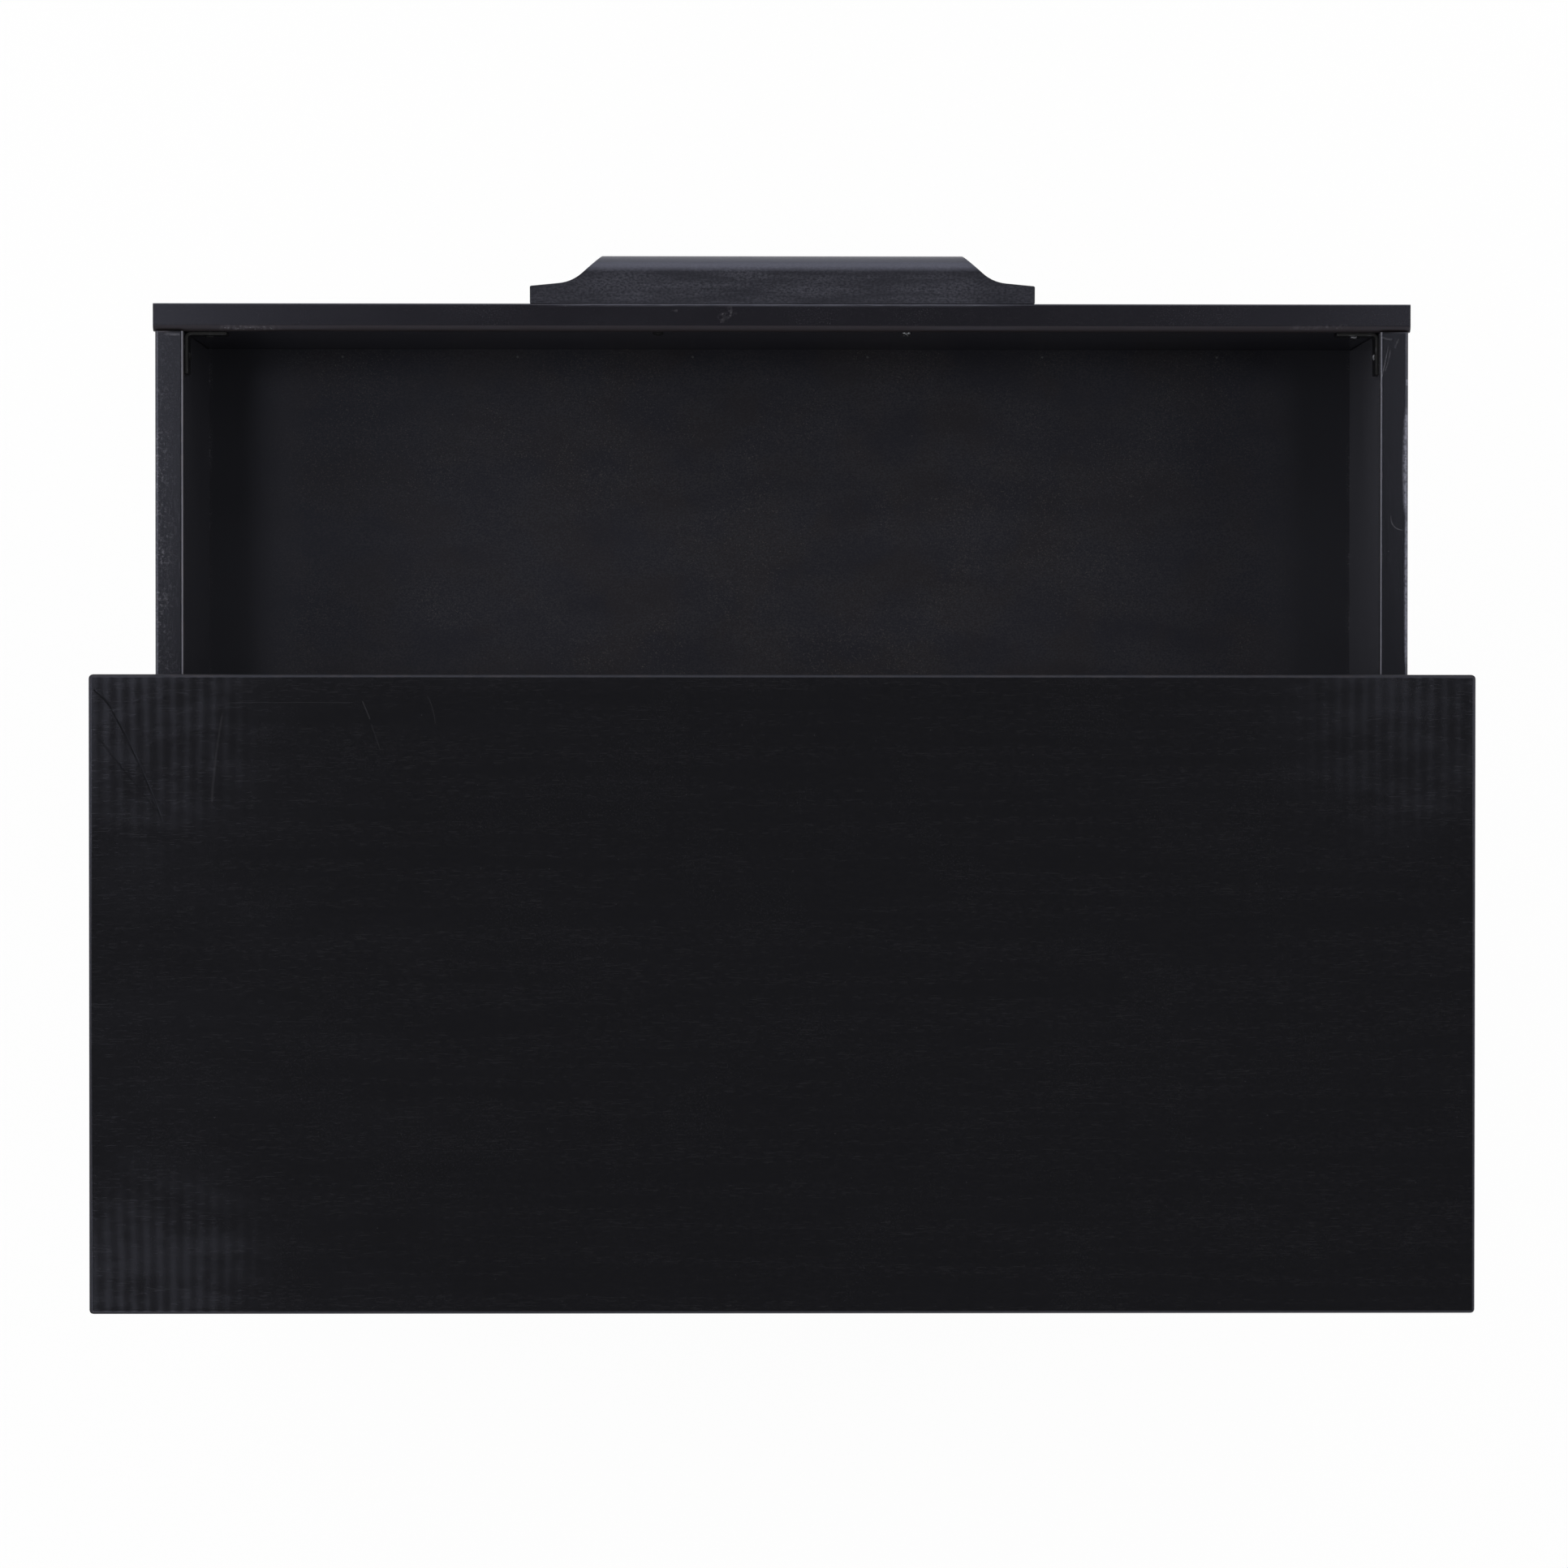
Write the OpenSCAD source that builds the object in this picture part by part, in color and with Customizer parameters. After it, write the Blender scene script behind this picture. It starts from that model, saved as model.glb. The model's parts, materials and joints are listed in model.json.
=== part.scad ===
// Cabinet of three drawers with woven cane in the drawer fronts.
// X runs across the width, Y from front to back and Z up from the floor.
// The origin is on the floor, under the middle of the whole piece with its top drawer pulled out.

/* [Top] */
// Width of the top
top_w = 813; // [700:1:1000]
// Depth of the top from front to back
top_d = 375; // [340:1:450]
// Thickness of the top
top_t = 20; // [16:0.5:28]
// Height of the top's upper face above the floor
top_z = 760; // [700:1:860]
// Distance that the top stands out past the case all round
top_overhang = 5; // [2:0.5:15]
// Radius of the top's corners seen from above
top_corner_r = 3; // [1:0.5:12]
// Radius of the top's upper edges
top_edge_r = 2; // [0.5:0.5:5]

/* [Case] */
// Width of a leg across the front
leg_w = 26; // [25:1:40]
// Depth of a leg from front to back
leg_d = 40; // [34:1:60]
// Width of a leg at its foot
foot_w = 21; // [20:0.5:24]
// Depth of a leg at its foot
foot_d = 28; // [20:1:32]
// Height of the open space under the case
clear_h = 140; // [80:1:200]
// Depth of the front rails from front to back
front_rail_d = 22; // [18:1:26]
// Height of the front rail above the top drawer
front_top_rail_h = 22; // [18:1:40]
// Height of a rail between two drawers
divider_h = 20; // [18:1:30]
// Height of the front rail under the bottom drawer
front_bottom_rail_h = 34; // [24:1:50]
// Thickness of the side and back rails
frame_rail_t = 18; // [16:0.5:20]
// Height of the upper side and back rails
frame_top_rail_h = 50; // [40:1:80]
// Height of the lower side and back rails
frame_bottom_rail_h = 34; // [30:1:60]
// Distance that the side and back rails lie in from the legs' outer faces
frame_inset = 3; // [1:0.5:4]
// Thickness of the side panels
side_panel_t = 6; // [4:0.5:8]
// Thickness of the back panel
back_panel_t = 5; // [4:0.5:8]
// Depth of the panel grooves in the legs and rails
panel_groove = 8; // [6:0.5:9]
// Length of the rails' tenons
tenon_l = 10; // [8:0.5:11]
// Thickness of the rails' tenons
tenon_t = 8; // [6:0.5:10]
// Wood left beside a tenon's upper and lower edges
tenon_shoulder = 4; // [2:0.5:6]
// Height of the runners, and width of the runners and kickers
runner_w = 20; // [17:0.5:24]

/* [Drawers] */
// Gap between a drawer front and the frame round it
front_gap = 2; // [1:0.25:4]
// Thickness of a drawer front
front_t = 16.5; // [14:0.5:24]
// Radius of the drawer front's outer edges
front_edge_r = 1; // [0.5:0.25:3]
// Radius of the upper edge inside the drawer front
front_inner_r = 4; // [1:0.5:6]
// Clearance between a drawer box and the legs at each side
box_play = 3.2; // [1:0.1:6]
// Clearance between the drawer sides and their runners
running_gap = 0.3; // [0.2:0.05:0.8]
// Thickness of the drawer sides
side_t = 17; // [14:0.5:20]
// Radius of the upper edges of the drawer sides
side_edge_r = 2; // [0.5:0.25:4]
// Thickness of the drawer back
back_t = 14; // [10:0.5:18]
// Height that the drawer back stays below the sides
back_drop = 6; // [2:0.5:30]
// Thickness of the drawer bottom
bottom_t = 6; // [4:0.5:9]
// Height of the drawer bottom above the lower edges of the sides
bottom_lift = 9; // [6:0.5:20]
// Depth of the grooves and rebates in the drawer sides and front
groove = 6; // [4:0.5:8]
// Clearance behind a closed drawer
rear_gap = 2; // [1:0.5:20]
// Distance that the top drawer is pulled out at rest
drawer_out = 225.5; // [0:0.5:280]

/* [Cane panels] */
// Width of the frame left at each end of a drawer front
stile_w = 32; // [20:1:60]
// Height of the frame left above the cane, behind the pull
cane_top_rail = 42; // [36:1:60]
// Height of the frame left below the cane
cane_bottom_rail = 26; // [18:1:40]
// Depth of the recess that holds the cane
recess = 6; // [5:0.5:7]
// Radius of the recess's corners
recess_r = 3; // [1:0.5:6]
// Thickness of the woven cane sheet
cane_t = 2; // [1:0.25:3]
// Width of the spline round the cane
spline_w = 5; // [3:0.5:8]
// Thickness of the spline
spline_t = 2.8; // [2:0.1:3.2]

/* [Pulls] */
// Length of a pull
pull_w = 300; // [280:1:400]
// Height of a pull
pull_h = 34; // [31:0.5:40]
// Distance that a pull stands out from the drawer front
pull_out = 29; // [24:0.5:40]
// Length of the pull's full-depth middle
pull_land = 214; // [200:1:230]
// Thickness of the pull at its ends
pull_end_t = 10.5; // [8:0.5:14]
// Angle at which the pull's ends thin out
pull_end_slope = 5.5; // [0:0.5:8]
// Radius of the hollow curve between the middle and an end
cove_r = 24; // [12:0.5:26]
// Steepest angle of that curve
cove_angle = 42; // [35:1:50]
// Radius of the pull's upper front edge
pull_edge_r = 10; // [2:0.5:14]
// Radius of the pull's lower front edge
pull_lower_r = 4; // [1:0.5:8]
// Radius of the pull's end corners seen from above
pull_corner_r = 1; // [0.5:0.25:4]
// Length of the finger groove under the pull
grip_w = 190; // [120:1:205]
// Width of the finger groove from front to back
grip_d = 12; // [8:0.5:14]
// Depth of the finger groove
grip_h = 15; // [8:0.5:17]
// Thickness of wood between the finger groove and the drawer front
grip_wall = 6; // [4:0.5:8]

/* [Metalwork] */
// Distance between a pull's two screws
pull_screw_span = 148; // [100:1:200]
// Depth of the pull's screws below its upper face
pull_screw_drop = 11; // [8:0.5:12]
// Shank diameter of the pull's screws
pull_screw_d = 3.5; // [3:0.25:5]
// Length of the pull's screws under the head
pull_screw_l = 32; // [26:1:36]
// Length of a corner bracket's legs
bracket_leg = 25; // [20:0.5:35]
// Height of a corner bracket
bracket_h = 16; // [10:0.5:24]
// Thickness of a corner bracket
bracket_t = 2; // [1:0.25:3]
// Outer radius of a corner bracket's bend
bracket_bend_r = 4; // [3:0.5:8]
// Depth of a corner bracket below the drawer's upper edge
bracket_drop = 5; // [3:0.5:20]
// Distance of a bracket's screws from its corner
bracket_screw_at = 14; // [8:0.5:16]
// Shank diameter of the bracket screws
bracket_screw_d = 3; // [2:0.25:4]
// Length of the bracket screws under the head
bracket_screw_l = 12; // [8:0.5:13]
// Shank diameter of the case screws
case_screw_d = 4; // [3:0.25:5]
// Length of a case screw in the piece that it holds on to
case_screw_bite = 9; // [6:0.5:9.5]
// Distance of the runner screws from the runners' ends
runner_screw_at = 5; // [4.75:0.25:6]
// Clearance between a screw and its hole
screw_play = 0.08; // [0.05:0.01:0.1]
// Diameter of a foot glide
glide_d = 17; // [12:0.5:19]
// Thickness of a foot glide
glide_t = 3; // [2:0.5:6]
// Diameter of a glide's nail
glide_nail_d = 3; // [2:0.25:4]
// Length of a glide's nail
glide_nail_l = 16; // [10:1:25]
// Width of the chamfer round a glide's lower edge
glide_chamfer = 1; // [0.5:0.25:1.5]

/* [Hidden] */
$fn = 64;
black_wood = "#1b1b1f";
raw_wood = "#2a2725";
cane_colour = "#c9a56b";
spline_colour = "#b58d52";
steel = "#a9abae";
nylon = "#2b2b2b";

drawers = 3;
sides = ["left", "right"];
cut = 1; // how far a cut runs past the face that it opens
slot_play = 0.15; // clearance beside a tenon, panel or cane sheet in its slot
end_play = 0.5; // clearance at the ends of a tenon or panel
head_w = 1.8; // width of a screw's head, in shank diameters

case_w = top_w - 2 * top_overhang;
case_d = top_d - 2 * top_overhang;
case_z = top_z - top_t;
case_x = case_w / 2;
opening_w = case_w - 2 * leg_w;
leg_x = opening_w / 2; // inner face of a leg

// The whole piece runs from the open drawer's pull to the rear edge of the top.
front_reach = max(drawer_out + pull_out, top_overhang);
case_y = (front_reach - case_d - top_overhang) / 2;

rails_h = front_top_rail_h + front_bottom_rail_h + (drawers - 1) * divider_h;
opening_h = (case_z - clear_h - rails_h) / drawers;
function opening_z(n) = clear_h + front_bottom_rail_h + (drawers - n) * (opening_h + divider_h);

side_mid = case_x - frame_inset - frame_rail_t / 2; // middle of the side rails and panels
back_mid = case_d - frame_inset - frame_rail_t / 2;
back_y = back_mid - frame_rail_t / 2; // front face of the back rails
upper_z = case_z - frame_top_rail_h; // edges of the open frame that a panel fills
lower_z = clear_h + frame_bottom_rail_h;
panel_z = [lower_z - panel_groove, upper_z + panel_groove - end_play];
panel_reach = panel_groove - end_play; // how far a panel's ends stand in their grooves
levels = ["top", "bottom"];
function rail_z(level) = level == "top" ? [upper_z, case_z] : [clear_h, lower_z];
function groove_z(level) = level == "top"
  ? [upper_z - cut, upper_z + panel_groove]
  : [lower_z - panel_groove, lower_z + cut];
function tenon_z(level) = level == "top"
  ? [upper_z + panel_groove + tenon_shoulder, case_z - tenon_shoulder]
  : [clear_h + tenon_shoulder, lower_z - panel_groove - tenon_shoulder];

// Span of width w about a middle, and a span made wider at both ends
function around(middle, w) = [middle - w / 2, middle + w / 2];
function grown(span, margin) = [span[0] - margin, span[1] + margin];

runner_x = leg_x - runner_w;
runner_y = [front_rail_d, back_y];
kicker_z = case_z - front_top_rail_h;
runner_screw_y = [runner_y[0] + runner_screw_at, runner_y[1] - runner_screw_at];
top_screw_y = [for (k = [1, 3]) runner_y[0] + k * (runner_y[1] - runner_y[0]) / 4];

front_w = opening_w - 2 * front_gap;
front_h = opening_h - 2 * front_gap;
box_x = leg_x - box_play; // outer face of a drawer side
inner_x = box_x - side_t;
box_z = running_gap - front_gap; // lower edges of the drawer sides
bottom_z = box_z + bottom_lift;
drawer_l = back_y - rear_gap;

cane_x = front_w / 2 - stile_w;
cane_z = [cane_bottom_rail, front_h - cane_top_rail];
// The pull's hollow curve touches its thin end at cove_start and its steep flank at cove_x.
cove_rise = cove_r * (cos(pull_end_slope) - cos(cove_angle));
cove_run = cove_r * (sin(cove_angle) - sin(pull_end_slope));
flank_foot = pull_out - pull_end_t - cove_rise - pull_w / 2 * tan(pull_end_slope);
cove_start = (flank_foot + (cove_run + pull_land / 2) * tan(cove_angle)) / (tan(cove_angle) - tan(pull_end_slope));
cove_x = cove_start - cove_run;
cove_t = pull_end_t + (pull_w / 2 - cove_start) * tan(pull_end_slope);
pull_corner = [
  pull_w / 2 - pull_corner_r,
  pull_end_t + pull_corner_r * tan(pull_end_slope) - pull_corner_r / cos(pull_end_slope)
];

NODES = concat(
  ["top_panel"],
  [for (end = ["front", "rear"], s = sides) str("leg_", end, "_", s)],
  [for (s = sides) str("side_panel_", s)],
  [for (level = ["top", "bottom"], s = sides) str("side_", level, "_rail_", s)],
  ["back_panel", "back_top_rail", "back_bottom_rail"],
  ["front_top_rail", "divider_rail_upper", "divider_rail_lower", "front_bottom_rail"],
  [for (n = [1 : drawers], s = sides) str("runner_", n, "_", s)],
  [for (s = sides) str("kicker_", s)],
  ["leg_glides", "case_screws"],
  [for (n = [1 : drawers], piece = [
    "front", "cane", "spline", "side_left", "side_right", "back", "bottom", "pull", "brackets", "screws"
  ]) str("drawer_", n, "_", piece)]
);
node = "all";

// Puts what is drawn from the case's front face in its place round the origin
module in_case() {
  translate([0, case_y, 0]) children();
}

// Puts what is drawn from the lower edge of a drawer front into opening n
module in_drawer(n) {
  in_case() translate([0, n == 1 ? -drawer_out : 0, opening_z(n) + front_gap]) children();
}

// Turns what is drawn for the right side to side s
module on_side(s) {
  mirror([s == "left" ? 1 : 0, 0, 0]) children();
}

// Block between two values on each axis
module block(x, y, z) {
  translate([x[0], y[0], z[0]]) cube([x[1] - x[0], y[1] - y[0], z[1] - z[0]]);
}

// What is cut away to round a corner at the origin
module corner(r) {
  if (r > 0) difference() {
    translate([-cut, -cut]) square(r + cut);
    translate([r, r]) circle(r);
  }
}

// Rectangle with four corner radii, from the origin's corner round
module rounded(w, h, r) {
  difference() {
    square([w, h]);
    corner(r[0]);
    translate([w, 0]) rotate(90) corner(r[1]);
    translate([w, h]) rotate(180) corner(r[2]);
    translate([0, h]) rotate(270) corner(r[3]);
  }
}

// Draws a Y and Z outline along X, from -x to x
module along_x(x) {
  translate([-x, 0, 0]) rotate([90, 0, 90]) linear_extrude(2 * x) children();
}

// Draws an X and Z outline along Y, from y[0] to y[1]
module along_y(y) {
  translate([0, y[1], 0]) rotate([90, 0, 0]) linear_extrude(y[1] - y[0]) children();
}

// Screw with its head's seat at the origin, pointing up, its head sunk in or standing below
module screw(d, l, sunk) {
  head_r = head_w * d / 2;
  head_h = d / 2;
  crown_r = 0.7 * head_r;
  rim_h = head_h / 3;
  tip_r = d / 8;
  head = sunk
    ? [[0, 0], [head_r, 0], [d / 2, head_h]]
    : [[0, -head_h], [crown_r, -head_h], [head_r, -rim_h], [head_r, 0], [d / 2, 0]];
  rotate_extrude() polygon(concat(head, [[d / 2, l - d], [tip_r, l], [0, l]]));
}

// Hole for the screw above
module screw_hole(d, l, sunk) {
  hole_r = d / 2 + screw_play;
  translate([0, 0, -cut]) cylinder(h = l + cut + screw_play, r = hole_r);
  if (sunk) {
    head_r = head_w * d / 2 + screw_play;
    rotate_extrude() polygon([[0, -cut], [head_r, -cut], [head_r, 0], [hole_r, d / 2], [0, d / 2]]);
  }
}

// Places of the screws that hold a bar to the legs, at height z on the right side
module at_bar_screws(z) {
  for (y = runner_screw_y) translate([runner_x, y, z]) rotate([0, 90, 0]) children();
}

// Places of the screws up through the kickers and the front rail into the top
module at_top_screws() {
  for (x = [-1, 1] * (leg_x - runner_w / 2), y = top_screw_y) translate([x, y, kicker_z]) children();
  for (x = [-leg_x / 2, leg_x / 2]) translate([x, front_rail_d / 2, kicker_z]) children();
}

module bar_screw_holes(z) {
  at_bar_screws(z) screw_hole(case_screw_d, runner_w + case_screw_bite, true);
}

module top_screw_holes() {
  at_top_screws() screw_hole(case_screw_d, front_top_rail_h + case_screw_bite, true);
}

module top_panel() {
  edges = [0, 0, top_edge_r, top_edge_r];
  color(black_wood) in_case() difference() {
    intersection() {
      translate([-top_w / 2, -top_overhang, case_z]) linear_extrude(top_t)
        rounded(top_w, top_d, [for (k = [1 : 4]) top_corner_r]);
      along_x(top_w / 2) translate([-top_overhang, case_z]) rounded(top_d, top_t, edges);
      along_y([-top_overhang, top_d - top_overhang]) translate([-top_w / 2, case_z])
        rounded(top_w, top_t, edges);
    }
    top_screw_holes();
  }
}

// Slot in a right leg for the tenon of a rail along X, with its middle at y
module cross_slot(y, z) {
  block([leg_x - cut, leg_x + tenon_l + end_play], grown(around(y, tenon_t), slot_play), grown(z, slot_play));
}

// Slots and groove for a side frame in a leg, from the leg's face at y going the way of dir
module side_slots(y, dir) {
  near = y - cut * dir;
  tenon_end = y + dir * (tenon_l + end_play);
  groove_end = y + dir * panel_groove;
  for (level = levels)
    block(grown(around(side_mid, tenon_t), slot_play), [min(near, tenon_end), max(near, tenon_end)],
      grown(tenon_z(level), slot_play));
  block(grown(around(side_mid, side_panel_t), slot_play), [min(near, groove_end), max(near, groove_end)],
    [panel_z[0], panel_z[1] + end_play]);
}

// Leg with its upright faces outside, its foot tapered on the two inner faces
module leg(end, s) {
  front = end == "front";
  y = front ? [0, leg_d] : [case_d, case_d - leg_d];
  foot_y = front ? foot_d : case_d - foot_d;
  color(black_wood) in_case() on_side(s) difference() {
    intersection() {
      along_y([min(y), max(y)]) polygon([
        [case_x, glide_t], [case_x, case_z], [leg_x, case_z], [leg_x, clear_h], [case_x - foot_w, glide_t]
      ]);
      along_x(case_x) polygon([
        [y[0], glide_t], [y[0], case_z], [y[1], case_z], [y[1], clear_h], [foot_y, glide_t]
      ]);
    }
    side_slots(y[1], front ? -1 : 1);
    if (front) {
      for (z = front_rail_zs) cross_slot(front_rail_d / 2, grown(z, -tenon_shoulder));
    } else {
      for (level = levels) cross_slot(back_mid, tenon_z(level));
      block([leg_x - cut, leg_x + panel_groove], grown(around(back_mid, back_panel_t), slot_play),
        [panel_z[0], panel_z[1] + end_play]);
    }
    for (n = [1 : drawers]) bar_screw_holes(opening_z(n) - runner_w / 2);
    bar_screw_holes(case_z - front_top_rail_h / 2);
    at_glide(end) cylinder(h = glide_nail_l + screw_play, d = glide_nail_d + 2 * screw_play);
  }
}

// Heights of the four front rails, from the top down
front_rail_zs = [
  [kicker_z, case_z],
  [opening_z(1) - divider_h, opening_z(1)],
  [opening_z(2) - divider_h, opening_z(2)],
  [clear_h, clear_h + front_bottom_rail_h]
];

// Place of the glide's upper face under a right leg
module at_glide(end) {
  y = end == "front" ? foot_d / 2 : case_d - foot_d / 2;
  translate([case_x - foot_w / 2, y, glide_t]) children();
}

module leg_glides() {
  color(nylon) in_case() for (end = ["front", "rear"], s = sides) on_side(s) at_glide(end) rotate_extrude()
    polygon([
      [0, -glide_t], [glide_d / 2 - glide_chamfer, -glide_t], [glide_d / 2, glide_chamfer - glide_t],
      [glide_d / 2, 0],
      [glide_nail_d / 2, 0], [glide_nail_d / 2, glide_nail_l - glide_nail_d], [0, glide_nail_l]
    ]);
}

// Rail along X between two legs, tenoned into both
module cross_rail(y, z, tenon) {
  block([-leg_x, leg_x], y, z);
  block([-leg_x - tenon_l, leg_x + tenon_l], around((y[0] + y[1]) / 2, tenon_t), tenon);
}

module front_rail(k) {
  z = front_rail_zs[k];
  color(black_wood) in_case() difference() {
    cross_rail([0, front_rail_d], z, grown(z, -tenon_shoulder));
    if (k == 0) top_screw_holes();
  }
}

module back_rail(level) {
  color(black_wood) in_case() difference() {
    cross_rail([back_y, back_y + frame_rail_t], rail_z(level), tenon_z(level));
    block([-leg_x - cut, leg_x + cut], grown(around(back_mid, back_panel_t), slot_play), groove_z(level));
  }
}

module side_rail(level, s) {
  y = [leg_d, case_d - leg_d];
  color(black_wood) in_case() on_side(s) difference() {
    union() {
      block(around(side_mid, frame_rail_t), y, rail_z(level));
      block(around(side_mid, tenon_t), grown(y, tenon_l), tenon_z(level));
    }
    block(grown(around(side_mid, side_panel_t), slot_play), grown(y, cut), groove_z(level));
  }
}

module side_panel(s) {
  color(black_wood) in_case() on_side(s)
    block(around(side_mid, side_panel_t), [leg_d - panel_reach, case_d - leg_d + panel_reach], panel_z);
}

module back_panel() {
  reach = leg_x + panel_reach;
  color(black_wood) in_case() block([-reach, reach], around(back_mid, back_panel_t), panel_z);
}

module runner(n, s) {
  z = opening_z(n);
  color(raw_wood) in_case() on_side(s) difference() {
    block([runner_x, leg_x], runner_y, [z - runner_w, z]);
    bar_screw_holes(z - runner_w / 2);
  }
}

module kicker(s) {
  color(raw_wood) in_case() on_side(s) difference() {
    block([runner_x, leg_x], runner_y, [kicker_z, case_z]);
    bar_screw_holes(case_z - front_top_rail_h / 2);
    top_screw_holes();
  }
}

module case_screws() {
  color(steel) in_case() {
    for (s = sides) on_side(s) {
      for (n = [1 : drawers])
        at_bar_screws(opening_z(n) - runner_w / 2) screw(case_screw_d, runner_w + case_screw_bite, true);
      at_bar_screws(case_z - front_top_rail_h / 2) screw(case_screw_d, runner_w + case_screw_bite, true);
    }
    at_top_screws() screw(case_screw_d, front_top_rail_h + case_screw_bite, true);
  }
}

// Places of the two screws that hold a pull, from inside the drawer front
module at_pull_screws() {
  for (x = [-pull_screw_span / 2, pull_screw_span / 2])
    translate([x, front_t, front_h - pull_screw_drop]) rotate([90, 0, 0]) children();
}

// Places of a right bracket's two screws, on the faces of its legs
module at_bracket_screws() {
  z = front_h - bracket_drop - bracket_h / 2;
  translate([inner_x - bracket_screw_at, front_t + bracket_t, z]) rotate([90, 0, 0]) children();
  translate([inner_x - bracket_t, front_t + bracket_screw_at, z]) rotate([0, 90, 0]) children();
}

module bracket_screw_holes() {
  at_bracket_screws() screw_hole(bracket_screw_d, bracket_screw_l, false);
}

// Rounded opening of the cane's recess, drawn smaller by a margin all round
module cane_outline(margin) {
  w = 2 * (cane_x - margin);
  h = cane_z[1] - cane_z[0] - 2 * margin;
  r = max(recess_r - margin, 0.5);
  translate([margin - cane_x, cane_z[0] + margin]) rounded(w, h, [r, r, r, r]);
}

module drawer_front(n) {
  r = front_edge_r;
  color(black_wood) in_drawer(n) difference() {
    along_x(front_w / 2) rounded(front_t, front_h, [r, r, front_inner_r, r]);
    along_y([-cut, recess]) cane_outline(0);
    block([-inner_x - groove, inner_x + groove], [front_t - groove, front_t + cut],
      [bottom_z, bottom_z + bottom_t + slot_play]);
    at_pull_screws() screw_hole(pull_screw_d, pull_screw_l, false);
    for (s = sides) on_side(s) bracket_screw_holes();
  }
}

module drawer_cane(n) {
  color(cane_colour) in_drawer(n) along_y([recess - cane_t, recess]) cane_outline(slot_play);
}

module drawer_spline(n) {
  color(spline_colour) in_drawer(n) along_y([recess - cane_t - spline_t, recess - cane_t]) difference() {
    cane_outline(slot_play);
    cane_outline(slot_play + spline_w);
  }
}

module drawer_side(n, s) {
  r = side_edge_r;
  color(black_wood) in_drawer(n) on_side(s) difference() {
    along_y([front_t, drawer_l]) translate([inner_x, box_z]) rounded(side_t, front_h - box_z, [0, 0, r, r]);
    block([inner_x - cut, inner_x + groove], [front_t - cut, drawer_l + cut],
      [bottom_z, bottom_z + bottom_t + slot_play]);
    block([inner_x - cut, inner_x + groove], [drawer_l - back_t, drawer_l + cut],
      [bottom_z + bottom_t, front_h - back_drop]);
    bracket_screw_holes();
  }
}

module drawer_back(n) {
  color(black_wood) in_drawer(n)
    block([-inner_x - groove, inner_x + groove], [drawer_l - back_t, drawer_l],
      [bottom_z + bottom_t, front_h - back_drop]);
}

module drawer_bottom(n) {
  reach = inner_x + groove - end_play;
  color(black_wood) in_drawer(n)
    block([-reach, reach], [front_t - groove + end_play, drawer_l], [bottom_z, bottom_z + bottom_t]);
}

// Half outline of a pull seen from above, from its middle to its right end, standing out towards -Y
module pull_half() {
  slope_way = [sin(pull_end_slope), cos(pull_end_slope)];
  mirror([0, 1]) difference() {
    union() {
      polygon([
        [0, 0], [pull_w / 2, 0], [pull_w / 2, pull_corner[1]], pull_corner,
        pull_corner + pull_corner_r * slope_way, [cove_start, cove_t], [cove_x, cove_t + cove_rise],
        [pull_land / 2, pull_out], [0, pull_out]
      ]);
      translate(pull_corner) circle(pull_corner_r);
    }
    translate([cove_start, cove_t] + cove_r * slope_way) circle(cove_r);
  }
}

module drawer_pull(n) {
  low = front_h - pull_h;
  color(black_wood) in_drawer(n) difference() {
    intersection() {
      translate([0, 0, low]) linear_extrude(pull_h) for (m = [0, 1]) mirror([m, 0]) pull_half();
      along_x(pull_w / 2) translate([-pull_out, low])
        rounded(pull_out, pull_h, [pull_lower_r, 0, 0, pull_edge_r]);
    }
    translate([-grip_w / 2, -grip_wall - grip_d, low - cut]) linear_extrude(grip_h + cut)
      rounded(grip_w, grip_d, [for (k = [1 : 4]) grip_d / 2]);
    at_pull_screws() screw_hole(pull_screw_d, pull_screw_l, false);
  }
}

// Bent strip seen from above, its outer corner at the origin and its legs along -X and +Y
module bracket_outline() {
  inside = bracket_leg - bracket_t + cut;
  difference() {
    translate([-bracket_leg, 0]) rounded(bracket_leg, bracket_leg, [0, bracket_bend_r, 0, 0]);
    translate([-bracket_leg - cut, bracket_t]) rounded(inside, inside, [0, bracket_bend_r - bracket_t, 0, 0]);
  }
}

module drawer_brackets(n) {
  color(steel) in_drawer(n) for (s = sides) on_side(s) difference() {
    translate([inner_x, front_t, front_h - bracket_drop - bracket_h]) linear_extrude(bracket_h)
      bracket_outline();
    bracket_screw_holes();
  }
}

module drawer_screws(n) {
  color(steel) in_drawer(n) {
    at_pull_screws() screw(pull_screw_d, pull_screw_l, false);
    for (s = sides) on_side(s) at_bracket_screws() screw(bracket_screw_d, bracket_screw_l, false);
  }
}

function wanted(name) = node == "all" || node == name;

if (wanted("top_panel")) top_panel();
for (end = ["front", "rear"], s = sides) if (wanted(str("leg_", end, "_", s))) leg(end, s);
for (s = sides) if (wanted(str("side_panel_", s))) side_panel(s);
for (level = ["top", "bottom"], s = sides) if (wanted(str("side_", level, "_rail_", s))) side_rail(level, s);
if (wanted("back_panel")) back_panel();
for (level = ["top", "bottom"]) if (wanted(str("back_", level, "_rail"))) back_rail(level);
if (wanted("front_top_rail")) front_rail(0);
if (wanted("divider_rail_upper")) front_rail(1);
if (wanted("divider_rail_lower")) front_rail(2);
if (wanted("front_bottom_rail")) front_rail(3);
for (n = [1 : drawers], s = sides) if (wanted(str("runner_", n, "_", s))) runner(n, s);
for (s = sides) if (wanted(str("kicker_", s))) kicker(s);
if (wanted("leg_glides")) leg_glides();
if (wanted("case_screws")) case_screws();
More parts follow.
